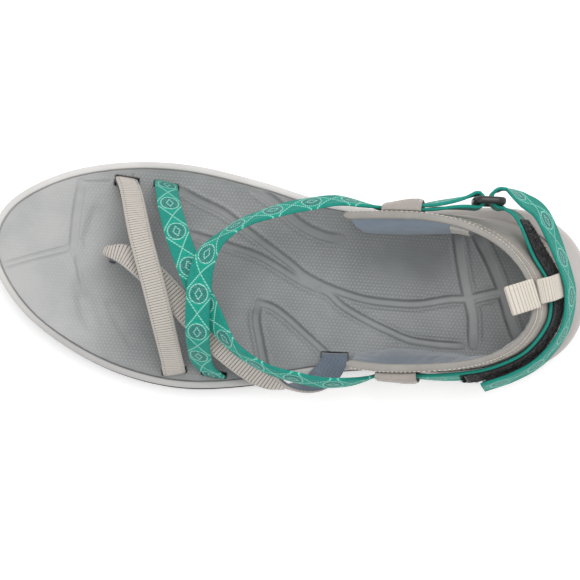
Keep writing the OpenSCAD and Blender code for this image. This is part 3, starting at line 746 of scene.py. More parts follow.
# Strap slots: x, y, direction the strap faces in degrees, width.
TOE_STRAP_WIDTH = 10
TOE_LOOP_WIDTH = 11
INSTEP_WIDTH = 10.5
TOE_MEDIAL = (-74, 40, 85, TOE_STRAP_WIDTH)
TOE_LATERAL = (-46.5, -41.5, -78, TOE_STRAP_WIDTH)
TOE_POST = (-77, 7, 170, 5)
LOOP_LATERAL = (23, -29.2, -88, TOE_LOOP_WIDTH)
UNDER_MEDIAL = (-56.5, 39.5, 82, INSTEP_WIDTH)
OVER_LATERAL = (-29, -41.3, -96, INSTEP_WIDTH)
SLOTS = [TOE_MEDIAL, TOE_LATERAL, TOE_POST, LOOP_LATERAL, UNDER_MEDIAL, OVER_LATERAL]
SLOT_DEPTH = 4.0
SLOT_THICKNESS = 2.4
WIDE_SLOT_THICKNESS = 4.4
SLOT_MARGIN = 0.2
BUMP_PITCH = 1.64
BUMP_HEIGHT = 0.22
# Grid of the footbed's upper face.
RIM_POINTS = 1600
ROW_STEP = 0.43
END_CURL = 9.0
CURL_ROWS = 34
COLUMNS = 196


def channel_depth(x, y, width, depth, wall, points):
    """How far a channel lowers each point; it runs out softly at both ends."""
    path = line(points, max(12, 14 * len(points)))
    run = np.concatenate([[0], np.cumsum(np.linalg.norm(np.diff(path, axis=0), axis=1))])
    out = np.zeros(x.shape)
    reach = width / 2 + wall
    near = (x > path[:, 0].min() - reach) & (x < path[:, 0].max() + reach)
    near &= (y > path[:, 1].min() - reach) & (y < path[:, 1].max() + reach)
    px, py = x[near], y[near]
    best = np.full(px.shape, 1e9)
    at = np.zeros(px.shape)
    for i in range(len(path) - 1):
        a, d = path[i], path[i + 1] - path[i]
        share = np.clip(((px - a[0]) * d[0] + (py - a[1]) * d[1]) / max(1e-9, d @ d), 0, 1)
        gap = np.hypot(px - a[0] - share * d[0], py - a[1] - share * d[1])
        closer = gap < best
        best[closer] = gap[closer]
        at[closer] = (run[i] + share * (run[i + 1] - run[i]))[closer]
    ends = smooth(np.minimum(at, run[-1] - at), -0.2, min(5, run[-1] / 4))
    out[near] = depth * (0.35 + 0.65 * ends) * smooth(best, width / 2 + wall * 0.35, width / 2 - wall * 0.65)
    return out


def bump_pattern(x, y):
    """Staggered rows of round bumps, 0 to 1."""
    k = 2 * PI / (BUMP_PITCH * math.sqrt(3) / 2)
    total = sum(np.cos(k * (x * math.cos(a) + y * math.sin(a))) for a in (PI / 2, PI / 6, -PI / 6))
    return np.clip((total / 3 + 0.12) / 1.12, 0, 1) ** 1.2


def slot_mask(x, y, slot, thick):
    turn = math.radians(slot[2])
    u = (x - slot[0]) * math.cos(turn) + (y - slot[1]) * math.sin(turn)
    v = -(x - slot[0]) * math.sin(turn) + (y - slot[1]) * math.cos(turn)
    reach = slot[3] / 2 + SLOT_MARGIN
    return smooth(np.abs(u), thick / 2 + 0.3, thick / 2 - 0.3) * smooth(np.abs(v), reach + 0.3, reach - 0.3)


def round_patch(x, y, centre, size, power=2):
    """Soft round patch: 1 at the centre, fading over size."""
    return np.exp(-((x - centre[0]) / size[0]) ** power - ((y - centre[1]) / size[1]) ** power)


def oval_distance(x, y, centre, size):
    return np.hypot((x - centre[0]) / size[0], (y - centre[1]) / size[1])


def footbed_grid():
    """Rows and columns of points over the footbed, and its width at each row."""
    rim, rim_out = outline(RIM_POINTS)
    rim = rim - rim_out * (BED_INSET + 0.05)
    toe, heel = rim[:, 0].argmin(), rim[:, 0].argmax()
    toe_x, heel_x = rim[toe, 0] + 0.02, rim[heel, 0] - 0.02
    order = np.roll(np.arange(RIM_POINTS), -toe)
    turn = list(order).index(heel)
    curl = END_CURL * (1 - np.cos(np.linspace(0, PI / 2, CURL_ROWS)))
    straight = np.arange(toe_x + END_CURL + ROW_STEP, heel_x - END_CURL, ROW_STEP)
    xs = np.concatenate([toe_x + curl, straight, (heel_x - curl)[::-1]])
    ends = []
    for side in (rim[order[:turn + 1]], rim[order[turn:]][::-1]):
        rising = np.maximum.accumulate(side[:, 0] + np.arange(len(side)) * 1e-7)
        ends.append(np.interp(xs, rising, side[:, 1]))
    high, low = np.maximum(*ends), np.minimum(*ends)
    thin, middle = high - low < 0.4, (high + low) / 2
    high, low = np.where(thin, middle + 0.2, high), np.where(thin, middle - 0.2, low)
    t = np.linspace(-1, 1, COLUMNS)
    t = np.sign(t) * (1 - (1 - np.abs(t)) ** 1.06)
    x = np.repeat(xs[:, None], COLUMNS, axis=1)
    y = (high + low)[:, None] / 2 + (high - low)[:, None] / 2 * t
    return rim, xs, high, low, x, y


def rim_gap(x, y, rim):
    """Distance in from the edge, worked out on a coarse grid and filled in."""
    rows = np.unique(np.linspace(0, len(x) - 1, 150).astype(int))
    cols = np.unique(np.linspace(0, COLUMNS - 1, 60).astype(int))
    cx, cy = x[np.ix_(rows, cols)], y[np.ix_(rows, cols)]
    gap = np.hypot(cx[..., None] - rim[::2, 0], cy[..., None] - rim[::2, 1]).min(axis=-1)
    gap = np.stack([np.interp(np.arange(COLUMNS), cols, row) for row in gap])
    return np.stack([np.interp(np.arange(len(x)), rows, column) for column in gap.T], axis=1)


def make_footbed():
    rim, xs, high, low, x, y = footbed_grid()
    gap = rim_gap(x, y, rim)
    share = 1 - np.clip(gap / np.maximum((high - low)[:, None] / 2, 27), 0, 1)
    z = bed_middle(x) + read(cup_line, x) * share ** 2.4
    # Raised pad under the toes' tips, the dip behind the toes, and the arch swell.
    z += 0.9 * round_patch(x, y, (-108, 10), (14, 24))
    z -= 0.7 * round_patch(x, y, (-84, 4), (9, 26), 4)
    z += 1.6 * round_patch(x, y, (50, 24), (24, 10))
    carve, sharp, lip, holes = (np.zeros(x.shape) for _ in range(4))
    for width, depth, wall, points in CHANNELS:
        cut_here = channel_depth(x, y, width, depth, wall, points)
        carve = np.maximum(carve, cut_here)
        if wall < 2:
            sharp = np.maximum(sharp, cut_here)
        if width > 3:
            lip = np.maximum(lip, channel_depth(x, y, width + 3.2, 1.0, wall + 1.2, points))
    plain = smooth(sharp, 0.25, 0.05) * smooth(gap, 0.9, 2.2)
    plain *= 1 - 0.8 * smooth(oval_distance(x, y, (54, 14), (22, 10)), 1.3, 0.5)
    plain *= 1 - 0.5 * smooth(x, -80, -112)
    bumps = bump_pattern(x, y) * plain
    z += bumps * BUMP_HEIGHT - carve + 0.4 * smooth(lip, 0.0, 0.75) * smooth(x, -75, -55)
    z -= 0.85 * smooth(gap, 0.55, 0.05)
    for slot in SLOTS:
        thick = WIDE_SLOT_THICKNESS if slot is TOE_MEDIAL else SLOT_THICKNESS
        holes = np.maximum(holes, slot_mask(x, y, slot, thick))
    z -= SLOT_DEPTH * holes
    # Tone, partly real but mostly painted light and shade: lighter at the toe where the light falls, painted
    # shade under the foot, under the toe straps and beside the lateral wall, painted light at the heel,
    # lighter in the channels and on the bumps.
    tone = 0.22 + 0.78 * smooth(x, -58, -106)
    tone = tone - 0.2 * smooth(oval_distance(x, y, (52, 12), (28, 16)), 1.3, 0.2)
    tone -= 0.06 * smooth(oval_distance(x, y, (-66, -4), (14, 34)), 1.4, 0.6)
    tone -= 0.14 * smooth(x, 30, 75) * smooth(y, -4, -20)
    tone += 0.10 * smooth(np.abs(x + 40), 50, 0) + 0.15 * smooth(x, 60, 90)
    in_channel = smooth(carve, 0.3, 1.0) * smooth(x, -60, -50)
    tone = tone + (0.08 + 0.2 * smooth(x, 45, 78)) * in_channel + 0.05 * bumps
    # One grid over the top, and a strip of points under its two long edges.
    rows = len(xs)
    top = np.stack([x, y, z], axis=-1).reshape(-1, 3)
    index = np.arange(rows * COLUMNS).reshape(rows, COLUMNS)
    quads = np.stack([index[:-1, :-1], index[1:, :-1], index[1:, 1:], index[:-1, 1:]], axis=-1)
    faces = quads.reshape(-1, 4).tolist()
    floor = bed_floor(xs)
    under = np.concatenate([np.column_stack([xs, low, floor]), np.column_stack([xs, high, floor])])
    base = rows * COLUMNS
    for i in range(rows - 1):
        a, b = base + i, base + i + 1
        c, d = a + rows, b + rows
        faces.append([a, c, d, b])
        faces.append([int(index[i, 0]), a, b, int(index[i + 1, 0])])
        faces.append([int(index[i + 1, -1]), d, c, int(index[i, -1])])
    faces.append([int(v) for v in index[0]] + [base + rows, base])
    faces.append([int(v) for v in index[-1][::-1]] + [base + rows - 1, base + 2 * rows - 1])
    values = np.stack([np.clip(tone, 0, 1), bumps, holes], axis=-1).reshape(-1, 3)
    values = np.vstack([values, np.tile([0.3, 0, 0], (2 * rows, 1))])
    mesh_part = (np.vstack([top, under]), faces, {"tone": values})
    piece("footbed_surface", [mesh_part], FOOTBED, "sandal", ["footbed"])


# ---------------------------------------------------------------- heel counter surface
COUNTER_ROWS = [
    (31, 32.4, 21.5, 31.4, 62), (45, 32.2, 38, 32.8, 64), (62, 33.4, 56, 33.2, 66),
    (82, 36.2, 73, 30.4, 69), (100, 35.6, 87, 24, 73.5), (115, 28.6, 96.6, 15.4, 77),
    (124.3, 18.3, 102.4, 6, 79.5), (127.6, 6, 104.4, -2.5, 80.5), (125.2, -6.7, 103.6, -10.7, 80),
    (117, -18.5, 98, -19.7, 77), (102, -26.5, 88.3, -26.4, 73), (83, -30.4, 75, -30.9, 69.5),
    (64, -30.4, 57.5, -33.7, 66.5), (46, -30.2, 42, -34.9, 64), (31, -31.6, 27.5, -34.2, 62),
]
COUNTER_BASE = 19.4
COUNTER_LAST = len(COUNTER_ROWS) - 1
LAYERS_TOP = 0.94
LEATHER_THICKNESS = 1.1
STIFFENER = 1.0
FOAM = 4.2
LINING = 0.9


def counter_skin(k, v):
    k, v = np.broadcast_arrays(np.asarray(k, float), np.asarray(v, float))
    r = spline(COUNTER_ROWS, k)
    w = v[..., None]
    flat = r[..., 0:2] * (1 - w) + r[..., 2:4] * w
    z = COUNTER_BASE + (r[..., 4] - COUNTER_BASE) * v
    return np.concatenate([flat, z[..., None]], axis=-1)


def counter_out(k, v):
    k = np.asarray(k, float)
    d = counter_skin(np.minimum(k + 0.2, COUNTER_LAST), v) - counter_skin(np.maximum(k - 0.2, 0), v)
    d[..., 2] = 0
    d = unit(d)
    return np.stack([-d[..., 1], d[..., 0], np.zeros(d.shape[:-1])], axis=-1)


def on_counter(k, v, d):
    """Point on the heel counter: row k, height share v, d outside its outer face."""
    k, v, d = np.broadcast_arrays(np.asarray(k, float), np.asarray(v, float), np.asarray(d, float))
    bulge = 0.6 + 1.4 * np.sin(PI * k / COUNTER_LAST)
    return counter_skin(k, v) + counter_out(k, v) * (d + bulge * np.sin(PI * v))[..., None]


def height_share(k, z):
    return (z - COUNTER_BASE) / (spline(COUNTER_ROWS, np.asarray(k, float))[..., 4] - COUNTER_BASE)


GLUE = 0.2
BOARD_OUT = -LEATHER_THICKNESS - GLUE


def foam_out(k, v):
    """Outer side of the padding: over the stiffener low down, straight on the leather above."""
    return 0 * k - LEATHER_THICKNESS - GLUE - (STIFFENER + GLUE) * (1 - smooth(v, 0.72, 0.90))


def padding(k, v):
    thin = 1 - 0.8 * np.clip((v - 0.3) / 0.64, 0, 1) ** 1.5
    return FOAM * (1 - 0.38 * np.sin(PI * np.asarray(k) / COUNTER_LAST)) * thin


def lining_out(k, v):
    return foam_out(k, v) - padding(k, v) - GLUE


def lining_in(k, v):
    return lining_out(k, v) - LINING


def counter_layer(k0, k1, v0, v1, inner, outer, steps, levels):
    """Closed shell between two offsets of the counter's face."""
    k = np.linspace(k0, k1, steps + 1)[:, None]
    v = np.linspace(v0, v1, levels + 1)[None]
    out = on_counter(k, v, outer(k, v))
    back = on_counter(k, v, inner(k, v))[:, ::-1]
    return loft(np.concatenate([out, back], axis=1))


def strap_row(k, z, d, tilt=0):
    """Strap station beside the counter, tipped to face upwards by tilt: place, then facing."""
    p = on_counter(k, height_share(k, z), d)
    up = unit(counter_skin(k, 1) - counter_skin(k, 0))
    side = counter_out(k, 0.7)
    facing = unit(side - up * (side @ up) + np.array([0, 0, tilt]))
    return [*p, *facing]


# ---------------------------------------------------------------- straps
WEBBING = 1.3
STRAP_LINING = 0.9


def anchor(slot):
    """Two stations of a strap at its slot: sunk in the footbed, then just above it."""
    x, y, turn, width = slot
    facing = [math.cos(math.radians(turn)), math.sin(math.radians(turn)), 0]
    return [[x, y, float(z), *facing, width] for z in (bed_floor(x) - 3.6, bed_height(x, y) + 1.2)]


def stations(width, *rows):
    """Strap stations of one width, each from a place and a facing direction."""
    return [[*row, width] for row in rows]


def turned(row):
    """The same station facing the other way."""
    return [*row[:3], *(-value for value in row[3:6]), *row[6:]]


def round_bar(centre, radius, degrees):
    """Stations round an upright bar."""
    rows = []
    for a in np.radians(degrees):
        c, s = math.cos(a), math.sin(a)
        rows.append([centre[0] + radius * c, centre[1] + radius * s, centre[2], c, s, 0])
    return rows


def strap_frames(rows, step):
    """Stations along a strap every step millimetres."""
    rows = np.asarray(rows, float)
    s = line(rows, (len(rows) - 1) * 60 + 1)
    run = np.concatenate([[0], np.cumsum(np.linalg.norm(np.diff(s[:, :3], axis=0), axis=1))])
    at = np.linspace(0, run[-1], max(2, round(run[-1] / step)) + 1)
    s = np.stack([np.interp(at, run, column) for column in s.T], axis=1)
    along = unit(np.gradient(s[:, :3], axis=0))
    facing = unit(s[:, 3:6] - along * np.sum(s[:, 3:6] * along, axis=1, keepdims=True))
    return {"run": at, "at": s[:, :3], "along": along, "across": np.cross(along, facing), "facing": facing,
            "width": s[:, 6]}


def on_strap(f, i, across, height):
    """Point beside station i of a strap, across from its middle and height over it."""
    return f["at"][i] + f["across"][i] * across + f["facing"][i] * height


def cut(frames, first, last):
    keep = (frames["run"] >= first - 1e-6) & (frames["run"] <= last + 1e-6)
    return {key: values[keep] for key, values in frames.items()}


def ribbon(f, low, high, relief=None, crown=0.0, narrow=0.0, points=17, wander=0.0):
    """Closed band with rounded edges; relief(run, across) raises both faces."""
    half = f["width"] / 2 - narrow
    radius = (high - low) / 2
    turn = np.linspace(0, PI, 5)[1:-1]
    shares = np.linspace(-1, 1, points)
    section = [(s, 0, 1) for s in shares] + [(1, math.sin(a), math.cos(a)) for a in turn]
    section += [(s, 0, -1) for s in shares[::-1]] + [(-1, -math.sin(a), -math.cos(a)) for a in turn]
    section = np.array(section)
    across = section[:, 0] * (half[:, None] - radius) + section[:, 1] * radius
    height = np.tile((low + high) / 2 + section[:, 2] * radius, (len(half), 1))
    run = np.repeat(f["run"][:, None], len(section), axis=1)
    height = height + crown * (1 - (across / half[:, None]) ** 2)
    if wander:
        height = height + wander * np.sin(run / 5.3 + 1.3) * np.sin(run / 8.1) * (across / half[:, None]) ** 2
    if relief:
        inner = smooth(np.abs(across), half[:, None] - radius * 0.2, half[:, None] - radius * 1.2)
        height = height + relief(run, across, half[:, None]) * section[:, 2] * inner
    rings = f["at"][:, None] + f["across"][:, None] * across[..., None]
    points_out, faces = loft(rings + f["facing"][:, None] * height[..., None])
    coordinates = np.stack([run, across, np.tile(section[:, 2], (len(half), 1))], axis=-1).reshape(-1, 3)
    return points_out, faces, {"strap": coordinates}


def rib_relief(pitch, depth, flat_edge):
    def relief(run, across, half):
        ridge = np.abs(np.cos(run * PI / pitch)) ** 0.6
        return depth * (ridge - 0.6) * smooth(np.abs(across), half - flat_edge + 0.3, half - flat_edge - 0.3)
    return relief


def webbing_relief(run, across, half):
    """Raised selvedges and a slight wale along the webbing."""
    edge_bead = 0.12 * smooth(np.abs(across), half - 1.5, half - 0.9)
    return edge_bead + 0.03 * np.cos(across * 2 * PI / 1.9)


STITCH_INSET = 1.35
STITCH_LIFT = WEBBING + 0.1
STITCH_SIZE = (0.62, 0.42, 0.3)
STITCH_MARGIN = 6


def edge_stitches(f):
    """Stitches along both edges of a strap's upper face."""
    parts = []
    for side in (-1, 1):
        at = np.arange(STITCH_MARGIN, f["run"][-1] - STITCH_MARGIN, TOE_RIB) + 0.2 * side
        at = at + scatter.normal(0, 0.06, len(at))
        pick = np.clip(np.searchsorted(f["run"], at), 0, len(f["run"]) - 1)
        offset = side * (f["width"][pick] / 2 - STITCH_INSET)
        centre = on_strap(f, pick, offset[:, None], STITCH_LIFT)
        parts += beads(centre, f["along"][pick], f["facing"][pick], STITCH_SIZE)
    return parts


TOE_STRAP_ROWS = [
    *anchor(TOE_MEDIAL),
    *stations(
        TOE_STRAP_WIDTH, (-70.5, 33, 34, 0.1, 0.8, 0.5), (-64.5, 15, 45.5, 0, 0.3, 0.95),
        (-58, -3, 48, 0, 0, 1), (-52, -21, 44.5, 0, -0.35, 0.9), (-47.5, -36, 33, 0, -0.85, 0.5),
    ),
    *anchor(TOE_LATERAL)[::-1],
]
TOE_LOOP_ROWS = [
    *anchor(TOE_POST),
    [-79.5, 8, 30, -0.95, 0.2, 0.15, 4], [-77.5, 8, 37, -0.7, 0.2, 0.7, 5.5],
    [-69.5, 6.3, 41.3, -0.1, 0.2, 1, 9.5],
    *stations(
        TOE_LOOP_WIDTH, (-56.5, -2.5, 43, 0, 0, 1), (-40.5, -17, 43, 0.1, -0.1, 1),
        (-28.5, -27.5, 41.5, 0.25, -0.45, 0.85), (-15, -37, 38.5, 0.25, -0.65, 0.75),
        (-4.5, -42.3, 36, 0.1, -0.85, 0.55), (4.5, -44, 35.2, 0, -0.98, -0.05),
        (13.5, -42.3, 35.6, 0.1, -0.75, -0.6), (20, -37.5, 34.9, 0.1, -0.3, -0.95),
        (22.7, -32.4, 32.4, 0, -0.5, -0.85),
    ),
    *anchor(LOOP_LATERAL)[::-1],
]
INSTEP_UNDER_ROWS = [
    *anchor(UNDER_MEDIAL),
    *stations(
        INSTEP_WIDTH, (-54, 31, 38.5, 0.1, 0.85, 0.45), (-48.6, 17, 51.5, 0, 0.4, 0.9),
        (-40.5, 0, 57.5, 0.05, 0, 1), (-32, -14.5, 56, -0.3, -0.25, 0.92),
        (-21.8, -27.3, 54, -0.6, -0.68, 0.42), (-9, -35.6, 51.5, -0.3, -0.9, 0.3),
        (9, -40, 50.5, 0.08, -0.95, 0.35), (27, -40.2, 49, 0, -0.95, 0.3), strap_row(12.9, 47.3, 0.5),
    ),
]
INSTEP_OVER_ROWS = [
    *anchor(OVER_LATERAL),
    *stations(
        INSTEP_WIDTH, (-34.5, -35.5, 37, -0.25, -0.85, 0.45), (-36.5, -23, 55.5, -0.1, -0.55, 0.85),
        (-37, -6.5, 62, 0, -0.1, 1), (-35.4, 5.6, 62.8, -0.4, 0.12, 0.95),
        (-29, 15.9, 61.2, -0.7, 0.55, 0.48), (-17.8, 24.3, 59.6, -0.45, 0.8, 0.4),
        (-1.5, 31, 57, -0.15, 0.85, 0.5), (19, 35.8, 53.6, 0, 0.9, 0.4), strap_row(0.95, 50, 0.5),
    ),
]


def make_forefoot_straps():
    ribs = rib_relief(TOE_RIB, 0.3, 1.0)
    wide_ribs = rib_relief(LOOP_RIB, 0.45, 0.8)
    # The toe loop's underside takes the darker knit copy as painted shade.
    loop_look = (LOOP_RIBBON, wide_ribs, SHADE_KNIT, "blue_grey_knit")
    for name, rows, node, top, relief, knit, knit_slot, narrow in (
        ("toe_strap", TOE_STRAP_ROWS, "toe_strap", RIBBON, ribs, DARK_KNIT, "dark_knit", 0.1),
        ("toe_loop", TOE_LOOP_ROWS, "toe_loop_strap", *loop_look, -0.25),
    ):
        f = strap_frames(rows, 0.2)
        band = ribbon(f, 0, WEBBING, relief, crown=0.25)
        piece(name + "_ribbon", [band], top, "sandal", [node])
        g = strap_frames(rows, 0.8)
        under = ribbon(g, -STRAP_LINING, -0.05, crown=0.25, narrow=narrow)
        piece(name + "_backing", [under], knit, "sandal", [name + "_lining"])
        piece(name + "_stitches", edge_stitches(f), DARK_THREAD, "sandal")
    for name, rows in (("instep_strap_under", INSTEP_UNDER_ROWS), ("instep_strap_over", INSTEP_OVER_ROWS)):
        f = strap_frames(rows, 0.5)
        band = ribbon(f, 0, WEBBING, webbing_relief, crown=0.35, points=31, wander=0.35)
        piece(name + "_webbing", [band], TEAL, "sandal", [name])


# ---------------------------------------------------------------- heel counter
def make_counter_leather():
    def outer(k, v):
        swell = 0.12 * np.sin(k * 5.1 + v * 3) * np.sin(v * 7 + k * 1.7)
        lap = 0.5 * smooth(v, 0.13, 0.10)
        return swell + lap - 0.35 * smooth(v, 0.925, LAYERS_TOP)

    def inner(k, v):
        return outer(k, v) - LEATHER_THICKNESS

    shell = counter_layer(0, COUNTER_LAST, 0, LAYERS_TOP, inner, outer, 260, 46)
    piece("counter_leather", [shell], LEATHER, "sandal", ["heel_counter_leather"])
    k = np.arange(0.25, COUNTER_LAST - 0.2, 0.135)
    parts = []
    for v, d in ((0.905, 0.12), (0.16, 0.1)):
        centre = on_counter(k, v, d)
        along = on_counter(k + 0.05, v, d) - on_counter(k - 0.05, v, d)
        parts += beads(centre, along, counter_out(k, v), (1.5, 0.55, 0.45))
    piece("counter_stitches", parts, CREAM_THREAD, "sandal")
    sides = [lambda k, v, d=d: d + 0 * k * v for d in (BOARD_OUT - STIFFENER, BOARD_OUT)]
    core = counter_layer(3, COUNTER_LAST - 3, 0, 0.7, *sides, 60, 8)
    piece("counter_board", [core], TAPE, "sandal", ["heel_stiffener"])


def make_binding():
    """Folded binding over the top edge of the collar, with a stitched seam on its outer side."""
    k = np.linspace(0, COUNTER_LAST, 300)
    low = LAYERS_TOP + 0.003
    back = lining_in(k, LAYERS_TOP)
    turn = np.linspace(0, PI, 13)
    rings = []
    for i, row in enumerate(k):
        outer, inner = 0.25, max(back[i] - 0.15, -3.4 + 1.3 * math.sin(PI * row / COUNTER_LAST) ** 2)
        end = min(row, COUNTER_LAST - row) / 0.22
        half = (outer - inner) / 2 * math.sqrt(max(0.12, 1 - max(0, 1 - end) ** 2))
        mid = (outer + inner) / 2
        outer, inner = mid + half, mid - half
        d = mid + half * np.sign(np.cos(turn)) * np.abs(np.cos(turn)) ** 0.75
        v = 0.972 + 0.028 * np.abs(np.sin(turn)) ** 0.8
        ripple = 0.05 * math.sin(row * 19) * np.sin(turn)
        upper = on_counter(row, v, d + ripple)
        hem_d = np.array([inner + 0.02, inner + 0.25, outer - 0.25, outer - 0.02])
        hem = on_counter(row, np.array([low + 0.012, low, low, low + 0.012]), hem_d)
        rings.append(np.vstack([upper, hem]))
    piece("collar_edge", [loft(rings)], BINDING, "sandal", ["collar_binding"])
    ks = np.arange(0.15, COUNTER_LAST - 0.1, 0.118)
    centre = on_counter(ks, 0.985, 0.02)
    along = on_counter(ks + 0.05, 0.985, 0) - on_counter(ks - 0.05, 0.985, 0)
    up = counter_out(ks, 0.98) + np.array([0, 0, 1.2])
    parts = beads(centre + unit(up) * 0.22, along, up, (1.35, 0.5, 0.42))
    piece("collar_stitches", parts, CREAM_THREAD, "sandal")


SIM_SCALE = 10
SIM_FRAMES = 20
PAD_PRESSURE = 4.0
PAD_VOXEL = 1.1
PAD_SWELL = 1.4
PAD_LOW = 0.06
PAD_TOP = 0.965
PAD_THINNEST = 1.9
HOLD_REACH = 1.5


def apply_modifiers(obj):
    bpy.context.view_layer.update()
    graph = bpy.context.evaluated_depsgraph_get()
    mesh = bpy.data.meshes.new_from_object(obj.evaluated_get(graph), depsgraph=graph)
    for material in list(obj.data.materials):
        if not mesh.materials:
            mesh.materials.append(material)
    obj.modifiers.clear()
    obj.data = mesh


def vertex_places(mesh):
    places = np.zeros(len(mesh.vertices) * 3)
    mesh.vertices.foreach_get("co", places)
    return places.reshape(-1, 3)


def inflate(obj, held):
    """Cloth under pressure; held points stay, and no point moves further than PAD_SWELL."""
    start = vertex_places(obj.data)
    group = obj.vertex_groups.new(name="held")
    group.add([int(i) for i in np.nonzero(held(start / SIM_SCALE / MM))[0]], 1.0, "REPLACE")
    cloth = obj.modifiers.new("cloth", "CLOTH")
    cloth.settings.quality = 4
    cloth.settings.mass = 0.3
    cloth.settings.use_pressure = True
    cloth.settings.uniform_pressure_force = PAD_PRESSURE
    cloth.settings.tension_stiffness = 12
    cloth.settings.compression_stiffness = 12
    cloth.settings.bending_stiffness = 0.4
    cloth.settings.vertex_group_mass = "held"
    cloth.settings.effector_weights.gravity = 0
    cloth.collision_settings.use_collision = False
    cloth.point_cache.frame_start = 1
    cloth.point_cache.frame_end = SIM_FRAMES
    for step in range(1, SIM_FRAMES + 1):
        bpy.context.scene.frame_set(step)
    apply_modifiers(obj)
    bpy.context.scene.frame_set(1)
    obj.vertex_groups.clear()
    move = vertex_places(obj.data) - start
    size = np.linalg.norm(move, axis=1, keepdims=True)
    move *= np.minimum(1, PAD_SWELL * SIM_SCALE * MM / np.maximum(size, 1e-9))
    obj.data.vertices.foreach_set("co", (start + move).ravel())


def puff(obj, held):
    """Remeshes a closed pad, inflates it and smooths it, at SIM_SCALE times its size."""
    obj.data.transform(Matrix.Scale(SIM_SCALE, 4))
    remesh = obj.modifiers.new("remesh", "REMESH")
    remesh.mode = "VOXEL"
    remesh.voxel_size = PAD_VOXEL * SIM_SCALE * MM
    apply_modifiers(obj)
    inflate(obj, held)
    subdivide = obj.modifiers.new("smooth", "SUBSURF")
    subdivide.levels = 1
    subdivide.render_levels = 1
    apply_modifiers(obj)
    mesh = obj.data
    mesh.transform(Matrix.Scale(1 / SIM_SCALE, 4))
    mesh.polygons.foreach_set("use_smooth", [True] * len(mesh.polygons))
    mesh.update()


def make_pads():
    """Padded lining of the collar: a medial, a heel and a lateral pad, puffed as cloth."""
    medial, lateral = (0.12, 3.52), (COUNTER_LAST - 4.0, COUNTER_LAST - 0.12)
    heel = (3.62, COUNTER_LAST - 4.08)
    for name, (k0, k1), flat_ends, material, slot, nodes in (
        ("medial_ankle_pad", medial, 0.0, BLUE_KNIT, "blue_grey_knit", ["medial_ankle_lining"]),
        ("heel_pad", heel, 0.0, GREY_KNIT, "grey_textile", ["heel_lining", "counter_foam"]),
        # The lateral pad takes the darker knit copy as painted shade.
        ("lateral_ankle_pad", lateral, 2.0, SHADE_KNIT, "blue_grey_knit", ["lateral_ankle_lining"]),
    ):
        def face(k, v, flat_ends=flat_ends):
            away = smooth(np.abs(k - 12.0), 0.85, 1.25) * flat_ends
            return np.minimum(lining_in(k, v) + 0.35 + away, foam_out(k, v) - PAD_THINNEST)

        shell = counter_layer(k0, k1, PAD_LOW, PAD_TOP, face, foam_out, 60, 24)
        obj = piece(name, [shell], material)
        # Points along the pad's back and round its rim, which the cloth keeps in place.
        k = np.linspace(k0, k1, 50)[:, None]
        v = np.linspace(PAD_LOW, PAD_TOP, 24)[None]
        backs = on_counter(k, v, foam_out(k, v)).reshape(-1, 3)
        rim_k = np.concatenate([*[np.linspace(k0, k1, 80)] * 2, np.full(40, k0), np.full(40, k1)])
        rim_v = np.concatenate([
            np.full(80, PAD_LOW), np.full(80, PAD_TOP), *[np.linspace(PAD_LOW, PAD_TOP, 40)] * 2,
        ])
        fixed = np.vstack([backs, on_counter(rim_k, rim_v, face(rim_k, rim_v))])

        def held(points, fixed=fixed):
            near = np.array([np.min(np.sum((fixed - p) ** 2, axis=1)) for p in points])
            return near < HOLD_REACH ** 2

        puff(obj, held)
        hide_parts(*nodes)
        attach(obj, "sandal")


def make_pad_seams():
    """Piping threads where the pads meet."""
    v = np.linspace(0.3, 0.93, 30)
    parts = [tube(on_counter(k, v, lining_in(k, v) + 0.5), 0.45, 6) for k in (3.57, COUNTER_LAST - 4.04)]
    piece("pad_seams", parts, BINDING, "sandal")


def make_seam_tab():
    """Beige tab over the seam of the medial pad."""
    low, high = 0.55, 0.9
    v = np.linspace(low, high, 14)
    rings = []
    for row in np.linspace(2.62, 3.14, 30):
        face = on_counter(row, v, lining_in(row, v) - 1.5 - 0.5 * np.sin(PI * (v - low) / 0.35))
        back = on_counter(row, v, lining_in(row, v) + 0.3)[::-1]
        rings.append(np.vstack([face, back]))
    sharp_edges(piece("inner_seam_tab", [loft(rings)], CREAM_THREAD, "sandal"), 50)


# ---------------------------------------------------------------- side panels
def make_side_panel(name, k0, k1, closed, shut, tunnel, power, node):
    """Leather tunnel over the strap ends; at row closed it is only the share shut of its height."""
    low, high = 0.42, 0.935

    def swell(row, share):
        taper = shut + (1 - shut) * smooth(np.abs(row - closed) / (k1 - k0), 0, 0.75)
        return tunnel * taper * np.maximum(0, np.sin(PI * share)) ** power

    k = np.linspace(k0, k1, 48)[:, None]
    s = np.linspace(0, 1, 60)[None]
    v = low + (high - low) * s
    lift = 0.25 + swell(k, s)
    crease = 0.1 * np.sin(s * 17 + k * 9) * np.sin(PI * s)
    edge_turn = 0.5 * smooth(np.abs((k - (k0 + k1) / 2) / (k1 - k0) * 2), 0.84, 1.0)
    out = on_counter(k, v, lift + 1 + crease - edge_turn)
    back = on_counter(k, v, lift + crease * 0.5)[:, ::-1]
    piece(name, [loft(np.concatenate([out, back], axis=1))], LEATHER, "sandal", [node])
    parts = []
    share = np.linspace(0.1, 0.9, 17)
    v = low + (high - low) * share
    for row in (k0 + 0.06, k1 - 0.06):
        centre = on_counter(row, v, 1.2 + swell(row, share) - 0.12)
        out = counter_out(np.full(len(v), row), v)
        parts += beads(centre, np.gradient(centre, axis=0), out, (1.2, 0.45, 0.35))
    piece(name + "_stitches", parts, CREAM_THREAD, "sandal")


